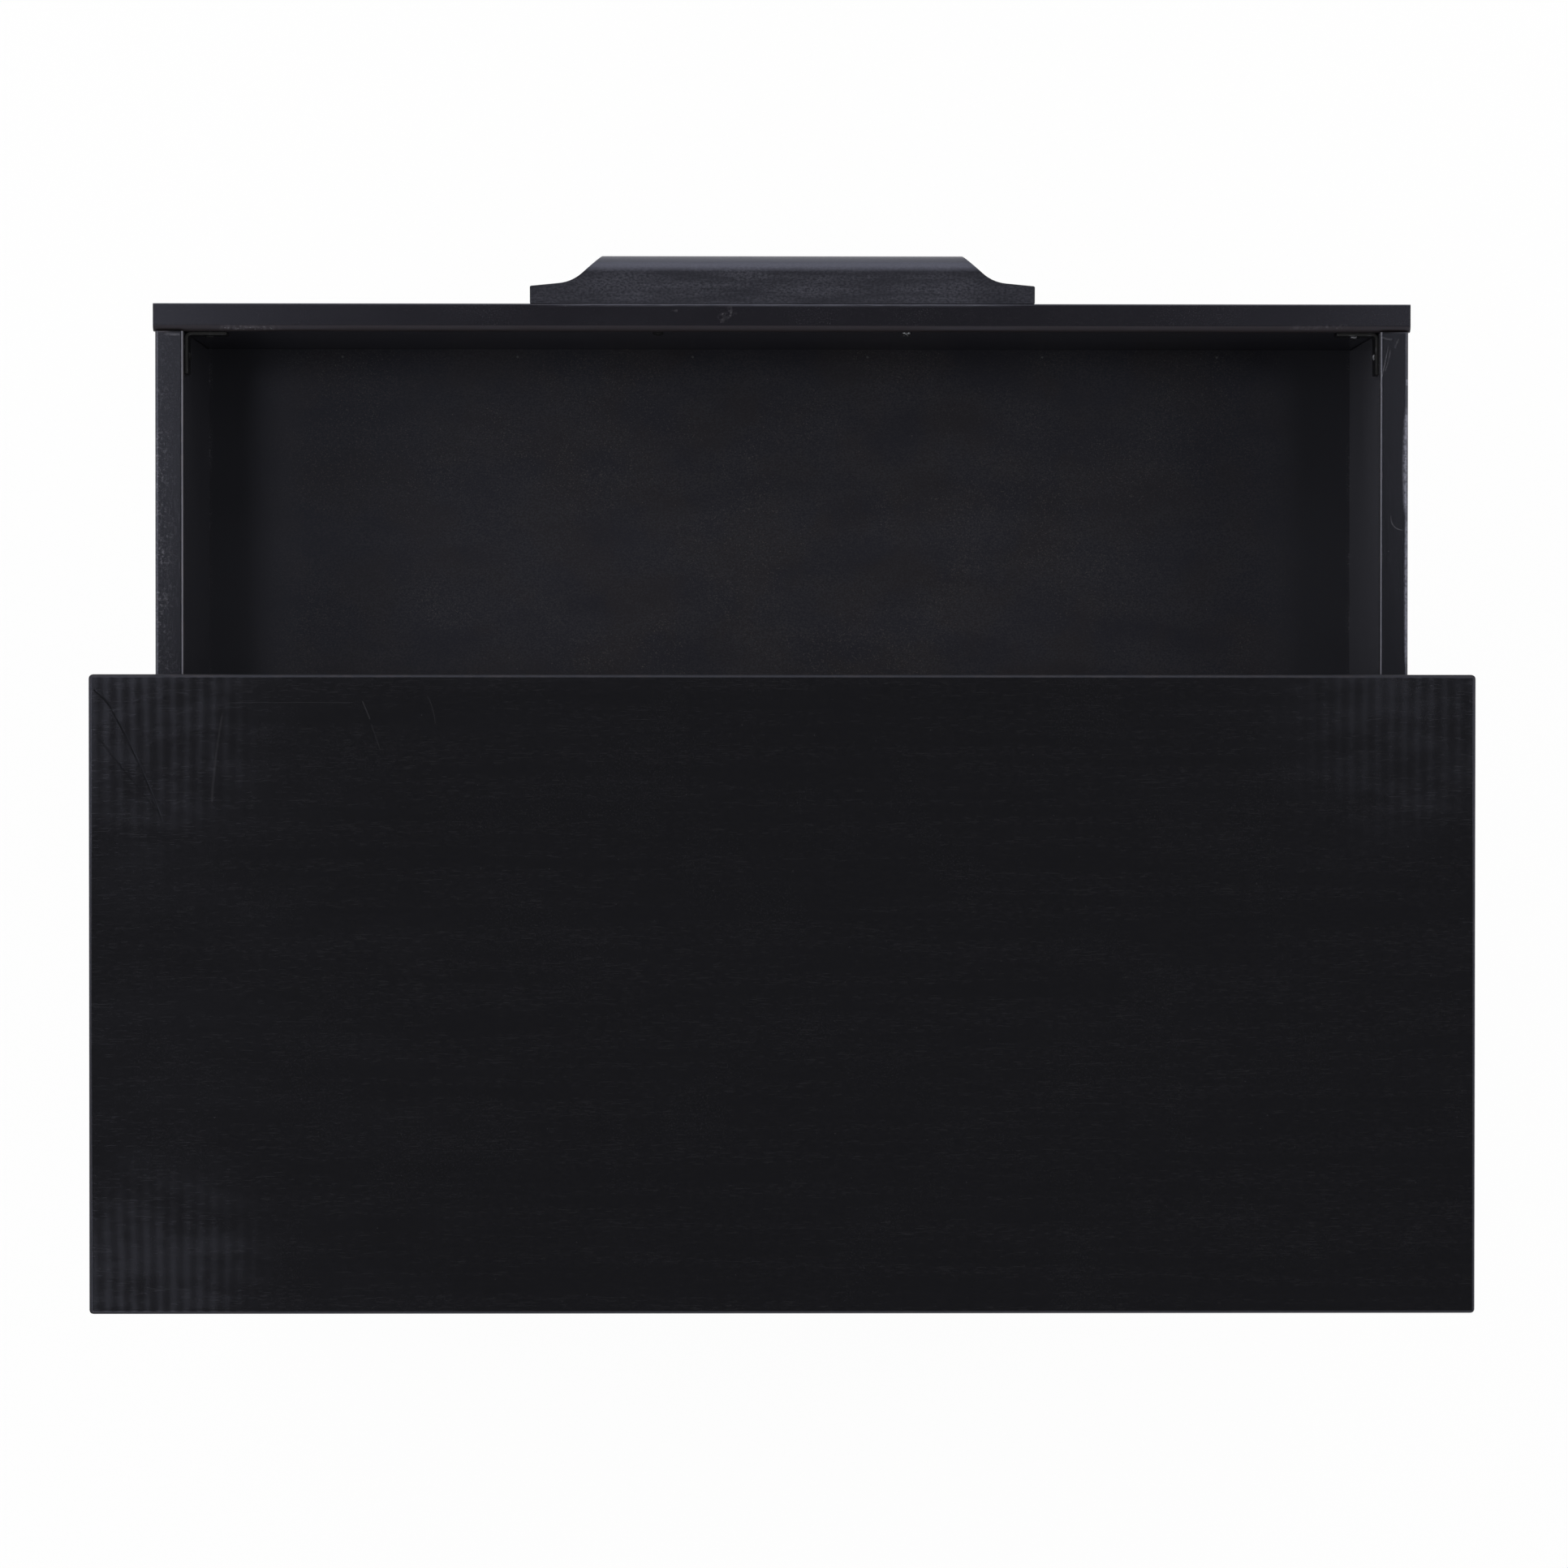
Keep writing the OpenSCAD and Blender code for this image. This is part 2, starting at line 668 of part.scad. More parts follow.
for (n = [1 : drawers]) {
  if (wanted(str("drawer_", n, "_front"))) drawer_front(n);
  if (wanted(str("drawer_", n, "_cane"))) drawer_cane(n);
  if (wanted(str("drawer_", n, "_spline"))) drawer_spline(n);
  for (s = sides) if (wanted(str("drawer_", n, "_side_", s))) drawer_side(n, s);
  if (wanted(str("drawer_", n, "_back"))) drawer_back(n);
  if (wanted(str("drawer_", n, "_bottom"))) drawer_bottom(n);
  if (wanted(str("drawer_", n, "_pull"))) drawer_pull(n);
  if (wanted(str("drawer_", n, "_brackets"))) drawer_brackets(n);
  if (wanted(str("drawer_", n, "_screws"))) drawer_screws(n);
}
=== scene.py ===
import json
import math
import bmesh
import bpy
from mathutils import Euler, Matrix, Vector


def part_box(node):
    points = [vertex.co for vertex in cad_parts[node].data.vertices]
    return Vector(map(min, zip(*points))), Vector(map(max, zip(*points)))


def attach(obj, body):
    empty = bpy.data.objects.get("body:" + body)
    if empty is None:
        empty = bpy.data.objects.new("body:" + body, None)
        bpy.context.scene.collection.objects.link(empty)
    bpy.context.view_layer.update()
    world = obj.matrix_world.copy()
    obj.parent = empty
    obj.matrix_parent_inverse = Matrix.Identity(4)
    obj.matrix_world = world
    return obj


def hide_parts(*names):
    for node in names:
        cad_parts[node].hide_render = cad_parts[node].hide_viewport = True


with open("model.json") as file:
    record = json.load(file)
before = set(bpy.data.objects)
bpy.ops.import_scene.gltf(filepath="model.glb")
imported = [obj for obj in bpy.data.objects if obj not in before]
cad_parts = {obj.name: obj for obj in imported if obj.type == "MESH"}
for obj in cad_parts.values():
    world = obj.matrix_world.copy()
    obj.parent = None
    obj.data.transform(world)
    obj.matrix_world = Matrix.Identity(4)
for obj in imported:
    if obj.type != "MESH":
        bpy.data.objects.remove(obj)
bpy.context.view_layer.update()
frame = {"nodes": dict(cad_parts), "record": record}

# Black painted mahogany cabinet with woven cane in its drawer fronts, seen from straight above.
# Frame axes: +X across the width, +Y from front to back, +Z up, in metres.

mm = 0.001
record = frame["record"]
bodyOf = {node: body for body, nodes in record["behaviour"]["bodies"].items() for node in nodes}
slotOf = {row["node"]: row["material_slot"] for row in record["subparts"]}
drawers = [body for body in record["behaviour"]["bodies"] if body != "case"]
print("frame loaded:", len(frame["nodes"]), "nodes")


# Small helpers

def linear(hexColour):  # sRGB hex to the linear values that shaders take
    parts = [int(hexColour[k:k + 2], 16) / 255 for k in (1, 3, 5)]
    return [c / 12.92 if c <= 0.04045 else ((c + 0.055) / 1.055) ** 2.4 for c in parts] + [1]


def feed(tree, node, inputs):  # links sockets to a node's inputs and sets plain values on them
    for key, value in inputs.items():
        if isinstance(value, bpy.types.NodeSocket):
            tree.links.new(value, node.inputs[key])
        else:
            node.inputs[key].default_value = value


def addNode(tree, kind, inputs=None, **settings):
    node = tree.nodes.new(kind)
    for name, value in settings.items():
        setattr(node, name, value)
    feed(tree, node, inputs or {})
    return node


def outcome(tree, kind, inputs=None, **settings):  # a new node's first output
    return addNode(tree, kind, inputs, **settings).outputs[0]


def calc(tree, operation, *values, clamp=False):  # one Math node's result
    inputs = dict(enumerate(values))
    return outcome(tree, "ShaderNodeMath", inputs, operation=operation, use_clamp=clamp)


def product(tree, value, *others):
    for other in others:
        value = calc(tree, "MULTIPLY", value, other)
    return value


def total(tree, value, *others):
    for other in others:
        value = calc(tree, "ADD", value, other)
    return value


def vector(tree, x=0.0, y=0.0, z=0.0):
    return outcome(tree, "ShaderNodeCombineXYZ", {0: x, 1: y, 2: z})


def partsOf(tree, vectorSocket):  # X, Y and Z
    return addNode(tree, "ShaderNodeSeparateXYZ", {0: vectorSocket}).outputs


def blendColour(tree, factor, a, b):  # a and b are hex colours or sockets
    a, b = (linear(colour) if isinstance(colour, str) else colour for colour in (a, b))
    return addNode(tree, "ShaderNodeMix", {0: factor, 6: a, 7: b}, data_type="RGBA").outputs[2]


def ramp(tree, value, low, high, toLow=0.0, toHigh=1.0):
    return outcome(tree, "ShaderNodeMapRange", {0: value, 1: low, 2: high, 3: toLow, 4: toHigh},
                   interpolation_type="SMOOTHSTEP")


def noise(tree, point, scale, detail=2.0, rough=0.5):
    return addNode(tree, "ShaderNodeTexNoise", {"Vector": point, "Scale": scale, "Detail": detail,
                                                "Roughness": rough}).outputs["Fac"]


def attribute(tree, name):
    return addNode(tree, "ShaderNodeAttribute", attribute_name=name).outputs["Fac"]


def bump(tree, height, strength=1.0, distance=1.0):  # by default the height is in metres
    inputs = {"Strength": strength, "Distance": distance, "Height": height}
    return outcome(tree, "ShaderNodeBump", inputs)


def newMaterial(name):
    material = bpy.data.materials.new(name)
    material.use_nodes = True
    tree = material.node_tree
    return material, tree, tree.nodes["Principled BSDF"]


def objectPoint(tree):
    return addNode(tree, "ShaderNodeTexCoord").outputs["Object"]


def linked(name, data):  # a new object in the scene
    item = bpy.data.objects.new(name, data)
    bpy.context.scene.collection.objects.link(item)
    return item


def meshFrom(work, name):  # a bmesh's mesh
    mesh = bpy.data.meshes.new(name)
    work.to_mesh(mesh)
    work.free()
    return mesh


def placed(mesh, name, material, node=None, body=None):  # a finished piece from its mesh
    piece = linked(name, mesh)
    mesh.materials.clear()
    mesh.materials.append(material)
    if node:
        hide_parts(node)
    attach(piece, body or bodyOf[node])
    return piece


# Materials

blackPaint = {
    "colour": "#131315",         # black satin paint, brushed thin enough that the grain still shows
    "grainColour": "#1c1c1e",    # raised grain, a little lighter
    "rubColour": "#1e1d20",      # fine rubbed mottling between the pores
    "paintedInsideLightColour": "#47474d",   # painted light: the drawer's inner faces made lighter, each by the light it gets
    "stripColour": "#1a1412",    # along the inner upper edge: thin paint on the drawer fronts, a painted highlight line on the drawer sides
    "wornColour": "#40352f",     # reddish brown wood where the paint has gone from an edge
    "handledColour": "#464751",  # painted sheen on rounded edges, standing in for what they reflect
    "dustColour": "#5f5e62",
    "sheenTint": "#e3e6ff",      # lamp black in the paint gives its shine a cold tint
    "patches": None,             # two colours that the paint drifts between
    "patchSize": 40 * mm,
    "streakLength": 150 * mm,
    "streakWidth": 7 * mm,
    "streakDepth": 0.02 * mm,
    "poreLength": 7 * mm,
    "poreWidth": 0.6 * mm,       # real pores are 0.3 mm wide; drawn coarser so that they show
    "poreDepth": 0.008 * mm,
    "rubLength": 2.8 * mm,
    "rubWidth": 1.2 * mm,
    "hazeLength": 60 * mm,
    "hazeWidth": 25 * mm,
    "speckSize": 0.8 * mm,       # dust, lying in clouds
    "cloudSize": 60 * mm,
    "nibSpacing": 10 * mm,       # lone crumbs
    "nibRadius": 0.4 * mm,
    "nibStrength": 3.0,
    "chipSize": 9 * mm,
    # A noise's values from and to, then what they become where that isn't 0 and 1
    "patchRange": (0.42, 0.6),
    "grainRange": (0.35, 0.6, 0.3, 1.0),
    "poreRange": (0.56, 0.72),
    "rubRange": (0.40, 0.66),
    "rubDrift": (0.3, 0.7, 0.45, 1.55),
    "cloudRange": (0.46, 0.66, 0.08, 1.0),
    "speckRange": (0.58, 0.74),
    "chipRange": (0.46, 0.66),
    "stripRange": (0.3, 0.6, 0.7, 1.0),
    "hazeRange": (0.35, 0.7, -0.01, 0.02),
    # How strongly each shows
    "mottle": 0.25,
    "dust": 0.1,
    "wear": 0.5,
    "handled": 0.0,
    # The paint's own roughness, and what each adds to it
    "roughness": 0.28,
    "edgeRoughness": 0.0,
    "rubRoughness": 0.0,
    "stripRoughness": 0.1,
    "refraction": 1.46,
}


def stretched(tree, point, axis, length, width):  # texture space whose unit is one grain long and one wide
    scale = [1 / width] * 3
    scale["XYZ".index(axis)] = 1 / length
    return outcome(tree, "ShaderNodeMapping", {"Vector": point, "Scale": scale})


def scratchMask(tree, point, start, end, bow, width, strength):  # along a scratch, fading at its ends
    start, end = Vector(start) * mm, Vector(end) * mm
    run = end - start
    turn = outcome(tree, "ShaderNodeMapping", {
        "Vector": point, "Location": (start.x, start.y, 0), "Rotation": (0, 0, math.atan2(run.y, run.x)),
        "Scale": (run.length, run.length, 1)}, vector_type="TEXTURE")
    split = partsOf(tree, turn)
    rest = calc(tree, "SUBTRACT", 1.0, split[0])
    arch = product(tree, split[0], rest, 4 * bow * mm / run.length)
    away = calc(tree, "ABSOLUTE", calc(tree, "SUBTRACT", split[1], arch))
    line = ramp(tree, away, width * mm / run.length, 0.0)
    fade = 0.12  # of the scratch's length
    ends = product(tree, ramp(tree, split[0], 0.0, fade), ramp(tree, rest, 0.0, fade))
    return product(tree, line, ends, strength)


def scratched(tree, point, tint, rows, colour, texture=1.0):  # a tint with scratches laid over it
    for row in rows:
        tint = blendColour(tree, product(tree, scratchMask(tree, point, *row), texture), tint, colour)
    return tint


# Black painted mahogany: satin brush paint, so a soft sheen, fine stretched grain and rubbed edges.
def paintedMahogany(name, axis, marks=None, **changes):
    look = blackPaint | changes
    material, tree, shader = newMaterial(name)
    point = objectPoint(tree)

    def alongGrain(kind):
        return stretched(tree, point, axis, look[kind + "Length"], look[kind + "Width"])

    def spots(kind, detail, rough=0.5):
        return ramp(tree, noise(tree, point, 1 / look[kind + "Size"], detail, rough), *look[kind + "Range"])

    streak = noise(tree, alongGrain("streak"), 1, 3)
    poreMask = ramp(tree, noise(tree, alongGrain("pore"), 1, 1.5), *look["poreRange"])
    haze = noise(tree, alongGrain("haze"), 1, 3)
    grain = product(tree, ramp(tree, streak, *look["grainRange"]), poreMask)
    tint = look["colour"]
    if look["patches"]:
        tint = blendColour(tree, spots("patch", 3), *look["patches"])
    # Painted light: inner faces lightened, most where they get the most light
    tint = blendColour(tree, attribute(tree, "paintedInsideLight"), tint, look["paintedInsideLightColour"])
    tint = blendColour(tree, grain, tint, look["grainColour"])
    rubbed = noise(tree, alongGrain("rub"), 1, 3, 0.6)
    rubMask = product(tree, ramp(tree, rubbed, *look["rubRange"]), look["mottle"])
    rubMask = calc(tree, "MULTIPLY", rubMask, ramp(tree, streak, *look["rubDrift"]), clamp=True)
    tint = blendColour(tree, rubMask, tint, look["rubColour"])
    nib = addNode(tree, "ShaderNodeTexVoronoi", {"Vector": point, "Scale": 1 / look["nibSpacing"]})
    nibSize = look["nibRadius"] / look["nibSpacing"]
    nibMask = ramp(tree, nib.outputs["Distance"], nibSize, 0, 0, look["nibStrength"])
    dusted = total(tree, product(tree, spots("speck", 1.5, 0.6), spots("cloud", 5, 0.6)), nibMask)
    dusted = calc(tree, "MULTIPLY", dusted, look["dust"], clamp=True)
    tint = blendColour(tree, dusted, tint, look["dustColour"])
    # worn edges; on the pull this carries its painted sheen instead
    edge = attribute(tree, "edgeWearAndSheen")
    worn = product(tree, edge, spots("chip", 5, 0.65), look["wear"])
    tint = blendColour(tree, worn, tint, look["wornColour"])
    # Painted sheen on rounded edges, lighter where they would reflect more
    if look["handled"]:
        tint = blendColour(tree, product(tree, edge, look["handled"]), tint, look["handledColour"])
    # Inner upper edge: a brown paint strip on drawer fronts, a painted highlight line on drawer sides
    strip = product(tree, attribute(tree, "innerEdge"), ramp(tree, haze, *look["stripRange"]))
    tint = blendColour(tree, strip, tint, look["stripColour"])
    height = calc(tree, "SUBTRACT", product(tree, streak, look["streakDepth"]),
                  product(tree, poreMask, look["poreDepth"]))
    rough = total(tree, look["roughness"], ramp(tree, haze, *look["hazeRange"]),
                  product(tree, edge, look["edgeRoughness"]), product(tree, rubMask, look["rubRoughness"]),
                  product(tree, strip, look["stripRoughness"]))
    if marks:
        tint, height, rough = marks(tree, point, tint, height, rough)
    feed(tree, shader, {"Base Color": tint, "Roughness": rough, "Normal": bump(tree, height),
                        "IOR": look["refraction"], "Specular Tint": linear(look["sheenTint"])})
    return material


topMarks = {
    # Ripples left by the planer: by which corner of the board, 0 low and 1 high, and mm from there
    "chatterSpots": [((1, 0), (-42, 42)), ((0, 0), (52, 40)), ((1, 1), (-45, -30))],
    "chatterPitch": 7.8 * mm,
    "chatterReach": (88 * mm, 25 * mm),  # from the spot, fading in between these
    "chatterDepth": 0.05 * mm,
    "dullRoughness": 0.10,      # the rippled corners and the front edge are duller
    "dullSize": (30 * mm, 12 * mm),
    "edgeBand": 14 * mm,
    "hazeSize": (200 * mm, 30 * mm),
    "hazeRoughness": 0.02,
    "dentDepth": 0.15 * mm,
    "dentColour": "#0b0b0c",
    "scratchColour": "#3a393c",
    # Each from the top's front corner at the picture's left: start and end in mm along the edge and
    # towards the back, then bow, width and strength
    "dents": [((3, 9), (15, 22), 1, 0.9, 0.8), ((13, 19), (44, 88), 1.5, 0.9, 1.0),
              ((4, 35), (41, 81), 0, 0.7, 0.4)],
    "scratches": [((79, 20), (72, 78), -1, 1.1, 0.2), ((160, 15), (165, 27), 0, 0.6, 0.4),
                  ((165, 28), (171, 45), 0, 0.6, 0.15), ((80, 16.5), (158, 16.5), 0, 0.25, 0.3),
                  ((198, 12), (203, 30), 1, 0.5, 0.2)],
}


def markTop(tree, point, tint, height, rough):
    box = low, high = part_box("top_panel")
    waveScale = math.tau / 20 / topMarks["chatterPitch"]  # a wave texture turns 20 radians a unit
    wave = addNode(tree, "ShaderNodeTexWave", {
        "Vector": point, "Scale": waveScale, "Distortion": 1.5, "Detail": 2.0, "Detail Scale": 0.5},
        wave_type="BANDS", bands_direction="X").outputs["Fac"]
    reach = 0
    for (cornerX, cornerY), (x, y) in topMarks["chatterSpots"]:
        spot = (box[cornerX][0] + x * mm, box[cornerY][1] + y * mm, high[2])
        away = addNode(tree, "ShaderNodeVectorMath", {0: point, 1: spot}, operation="DISTANCE")
        reach = total(tree, reach, ramp(tree, away.outputs["Value"], *topMarks["chatterReach"]))
    height = total(tree, height, product(tree, wave, reach, topMarks["chatterDepth"]))
    band = ramp(tree, partsOf(tree, point)[1], low[1] + topMarks["edgeBand"], low[1], 0, 0.5)
    patches = noise(tree, stretched(tree, point, "X", *topMarks["dullSize"]), 1, 4, 0.6)
    dull = product(tree, total(tree, reach, band), ramp(tree, patches, 0.35, 0.65, 0.3, 1))
    haze = noise(tree, stretched(tree, point, "X", *topMarks["hazeSize"]), 1, 3)
    rough = total(tree, rough, product(tree, dull, topMarks["dullRoughness"]),
                  ramp(tree, haze, 0.4, 0.7, 0.0, topMarks["hazeRoughness"]))

    def fromCorner(rows):
        return [(*((high[0] / mm - x, low[1] / mm + y) for x, y in (start, end)), *rest)
                for start, end, *rest in rows]

    for row in fromCorner(topMarks["dents"]):
        mask = scratchMask(tree, point, *row)
        height = calc(tree, "SUBTRACT", height, product(tree, mask, topMarks["dentDepth"]))
        tint = blendColour(tree, mask, tint, topMarks["dentColour"])
    tint = scratched(tree, point, tint, fromCorner(topMarks["scratches"]), topMarks["scratchColour"])
    return tint, height, rough


edgeFade = (2.5 * mm, 1 * mm)


def nearTop(tree, point, node):  # 1 on a board's upper edge, 0 below and above it
    away = calc(tree, "SUBTRACT", partsOf(tree, point)[2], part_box(node)[1][2])
    return ramp(tree, calc(tree, "ABSOLUTE", away), *edgeFade)


frontMarks = {
    # Start and end as seen from above in mm, then bow, width and strength
    "rubbed": [((-149, -282.5), (149, -282.5), 0, 1.4, 0.3)],  # painted highlight along the outer edge under the pull
    # colour of that painted highlight
    "rubbedAndHighlightColour": "#6c6d78",
    "highlightStreakSize": (18 * mm, 0.8 * mm),
    "crumbs": [((336, -268.8), (296, -268.4), 0, 2.2, 1.0), ((38, -273), (28, -280), 0.5, 4.5, 0.8),
               ((66, -279), (62, -279), 0, 1.2, 0.8), ((-338, -270), (-300, -269), 0, 2, 0.5)],
    "crumbColour": "#5f5d62",
    "crumbSpacing": 2.2 * mm,
}


def markFront(tree, point, tint, height, rough):
    look = frontMarks
    top = nearTop(tree, point, "drawer_1_front")
    # Painted highlight streaked along the front's outer upper edge
    streaks = noise(tree, stretched(tree, point, "X", *look["highlightStreakSize"]), 1, 3)
    streaks = product(tree, ramp(tree, streaks, 0.3, 0.6, 0.35, 1.0), top)
    tint = scratched(tree, point, tint, look["rubbed"], look["rubbedAndHighlightColour"], streaks)
    dots = addNode(tree, "ShaderNodeTexVoronoi", {"Vector": point, "Scale": 1 / look["crumbSpacing"]})
    smear = ramp(tree, noise(tree, point, 1 / look["crumbSpacing"], 3), 0.42, 0.72, 0.0, 0.4)
    crumbs = calc(tree, "ADD", ramp(tree, dots.outputs["Distance"], 0.3, 0.05), smear, clamp=True)
    tint = scratched(tree, point, tint, look["crumbs"], look["crumbColour"], product(tree, crumbs, top))
    return tint, height, rough


sideMarks = {
    # Start and end as seen from above in mm, then bow, width and strength
    "scratches": [((-360.5, -259), (-354.5, -231), 0, 0.5, 0.9),
                  ((-361.5, -257), (-358, -243), 0.6, 0.5, 0.6),
                  ((-363, -262.5), (-356, -264), 0.5, 0.9, 0.4), ((-366.5, -263), (-364, -257), 0, 0.7, 0.6),
                  ((-362, -158), (-370, -149), -3, 0.5, 0.8), ((357, -264.5), (367, -265), 0, 1.1, 0.8)],
    "scratchColour": "#4a494d",
    # Grey where the paint is rubbed through on the outer edge
    "rubbed": [((-371.6, -239), (-371.6, -235), 0, 1.1, 1.0), ((-372, -224), (-371.5, -156), -1.3, 2.3, 0.9),
               ((-371.8, -162), (-371.6, -66), -0.5, 1.9, 0.8)],
    "rubbedAndHighlightColour": "#6f6f79",
    "breakSize": 1.5 * mm,
    # Dust lies along the outer edge of the drawer side at the picture's left, thickest at the back
    "dustAcross": (356 * mm, 373 * mm),
    "dustAlong": (-262 * mm, -185 * mm),
    "dustSize": 1.6 * mm,
    "clusterSize": 14 * mm,
    "dustColour": "#5f5e64",
    "paintedShadeColour": "#060607",  # painted shade: the upper edge of the drawer side at -X made darker
    "paintedShadeAcross": (200 * mm, -200 * mm),
}


def markSides(tree, point, tint, height, rough):
    look = sideMarks
    top = nearTop(tree, point, "drawer_1_side_left")
    at = partsOf(tree, point)
    broken = product(tree, ramp(tree, noise(tree, point, 1 / look["breakSize"], 3), 0.35, 0.6, 0.3, 1.0), top)
    # Painted shade on the upper edge of the side at -X
    shade = product(tree, ramp(tree, at[0], *look["paintedShadeAcross"], 0, 0.45), top)
    tint = blendColour(tree, shade, tint, look["paintedShadeColour"])
    tint = scratched(tree, point, tint, look["scratches"], look["scratchColour"], broken)
    tint = scratched(tree, point, tint, look["rubbed"], look["rubbedAndHighlightColour"], broken)
    crowd = product(tree, ramp(tree, at[0], *look["dustAcross"]),
                    ramp(tree, at[1], *look["dustAlong"], 0.3, 1))
    cluster = ramp(tree, noise(tree, point, 1 / look["clusterSize"], 3), 0.35, 0.62, 0.35, 1.0)
    dusting = ramp(tree, noise(tree, point, 1 / look["dustSize"], 4, 0.7), 0.5, 0.74)
    tint = blendColour(tree, product(tree, dusting, cluster, crowd, top), tint, look["dustColour"])
    return tint, height, rough


pullMarks = {"endReach": (95 * mm, 135 * mm), "endStrength": 0.4, "endColour": "#0a0a0c"}  # darker towards the ends


def markPull(tree, point, tint, height, rough):
    away = calc(tree, "ABSOLUTE", partsOf(tree, point)[0])
    shade = ramp(tree, away, *pullMarks["endReach"], 0, pullMarks["endStrength"])
    return blendColour(tree, shade, tint, pullMarks["endColour"]), height, rough


floorMarks = {
    "paintedLightReach": (65 * mm, 20 * mm),  # painted light: the bottom made lighter near the sides, against the shade they cast
    "paintedLightStrength": 0.9,
    "paintedLightColour": "#242427",
    "seamReach": (3 * mm, 0.3 * mm),   # crumbs gather where the bottom meets the sides
    "seamColour": "#5a595d",
    "crumbSize": 0.9 * mm,
    "crumbPatch": 18 * mm,
}


def markFloor(tree, point, tint, height, rough):
    look = floorMarks
    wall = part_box("drawer_1_side_right")[0][0]
    toWall = calc(tree, "SUBTRACT", wall, calc(tree, "ABSOLUTE", partsOf(tree, point)[0]))
    # Painted light on the bottom near the sides
    paintedLight = ramp(tree, toWall, *look["paintedLightReach"], 0, look["paintedLightStrength"])
    tint = blendColour(tree, paintedLight, tint, look["paintedLightColour"])
    speck = ramp(tree, noise(tree, point, 1 / look["crumbSize"], 2, 0.6), 0.52, 0.66)
    patchy = ramp(tree, noise(tree, point, 1 / look["crumbPatch"], 3), 0.45, 0.65, 0.1, 0.8)
    crumbs = product(tree, speck, ramp(tree, toWall, *look["seamReach"]), patchy)
    return blendColour(tree, crumbs, tint, look["seamColour"]), height, rough


# Unpainted red hardwood of the runners: dull, open-grained, with no finish on it.
def bareHardwood():
    material, tree, shader = newMaterial("bareMeranti")
    grain = noise(tree, stretched(tree, objectPoint(tree), "Y", 90 * mm, 2.5 * mm), 1, 4)
    colour = blendColour(tree, ramp(tree, grain, 0.3, 0.7), "#4a3326", "#7a5a42")
    feed(tree, shader, {"Base Color": colour, "Normal": bump(tree, grain, 0.3, 0.15 * mm), "Roughness": 0.62})
    return material


reed = {"patchLength": 14 * mm, "patchShare": 0.7, "toneShare": 0.2,
        "toneSpan": 90.0,  # how far apart the strands lie in the noise
        "fibreShare": 0.25, "fibreColour": "#6e4d26"}


# Natural rattan: the reed's glossy bark side out, straw coloured, each strand a little different.
def rattan(name, light, dark, fibreWidth):
    material, tree, shader = newMaterial(name)
    tone = attribute(tree, "strandTone")
    along = calc(tree, "DIVIDE", attribute(tree, "strandLength"), reed["patchLength"])
    patch = noise(tree, vector(tree, along, product(tree, tone, reed["toneSpan"])), 1, 3)
    fibre = noise(tree, objectPoint(tree), 1 / fibreWidth, 2)
    share = total(tree, product(tree, patch, reed["patchShare"]), product(tree, tone, reed["toneShare"]))
    colour = blendColour(tree, ramp(tree, share, 0.2, 0.75), dark, light)
    fibreMask = product(tree, ramp(tree, fibre, 0.4, 0.7), reed["fibreShare"])
    colour = blendColour(tree, fibreMask, colour, reed["fibreColour"])
    feed(tree, shader, {"Base Color": colour, "Roughness": 0.42,
                        "Normal": bump(tree, fibre, 0.25, 0.08 * mm)})
    return material


# Stamped steel under black enamel: smooth and slightly glossy, bare at its rubbed edges.
def blackEnamel():
    material, tree, shader = newMaterial("blackEnamelSteel")
    point = objectPoint(tree)
    chips = ramp(tree, noise(tree, point, 1 / (3 * mm), 4), 0.55, 0.7, 0.0, 0.5)
    rub = product(tree, attribute(tree, "edgeWearAndSheen"), chips)
    ripple = noise(tree, point, 1 / (1.2 * mm), 2)
    feed(tree, shader, {"Base Color": blendColour(tree, rub, "#0c0c0d", "#5c5d62"), "Metallic": rub,
                        "Normal": bump(tree, ripple, 0.2, 0.05 * mm), "Roughness": 0.42, "IOR": 1.32})
    return material


# Zinc-plated screws: bluish metal gone dull, some of them brushed over with the cabinet's black paint.
def zincPlate():
    material, tree, shader = newMaterial("zincPlatedSteel")
    dull = noise(tree, objectPoint(tree), 1 / (1.5 * mm), 3)
    painted = attribute(tree, "painted")
    bare = calc(tree, "SUBTRACT", 1.0, product(tree, painted, ramp(tree, dull, 0.75, 0.65)))
    metal = blendColour(tree, dull, "#333437", "#77787c")
    rough = total(tree, ramp(tree, dull, 0.3, 0.7, 0.25, 0.45), product(tree, painted, 0.4))
    feed(tree, shader, {"Base Color": blendColour(tree, bare, "#0b0b0d", metal), "Roughness": rough,
                        "Metallic": bare, "IOR": 1.25})
    return material


# Moulded nylon glides: black, waxy and a little scuffed.
def mouldedNylon():
    material, tree, shader = newMaterial("mouldedNylon")
    scuff = noise(tree, objectPoint(tree), 1 / (2 * mm), 3)
    feed(tree, shader, {"Base Color": blendColour(tree, scuff, "#1c1c1d", "#313132"),
                        "Roughness": ramp(tree, scuff, 0.3, 0.7, 0.4, 0.6)})
    return material


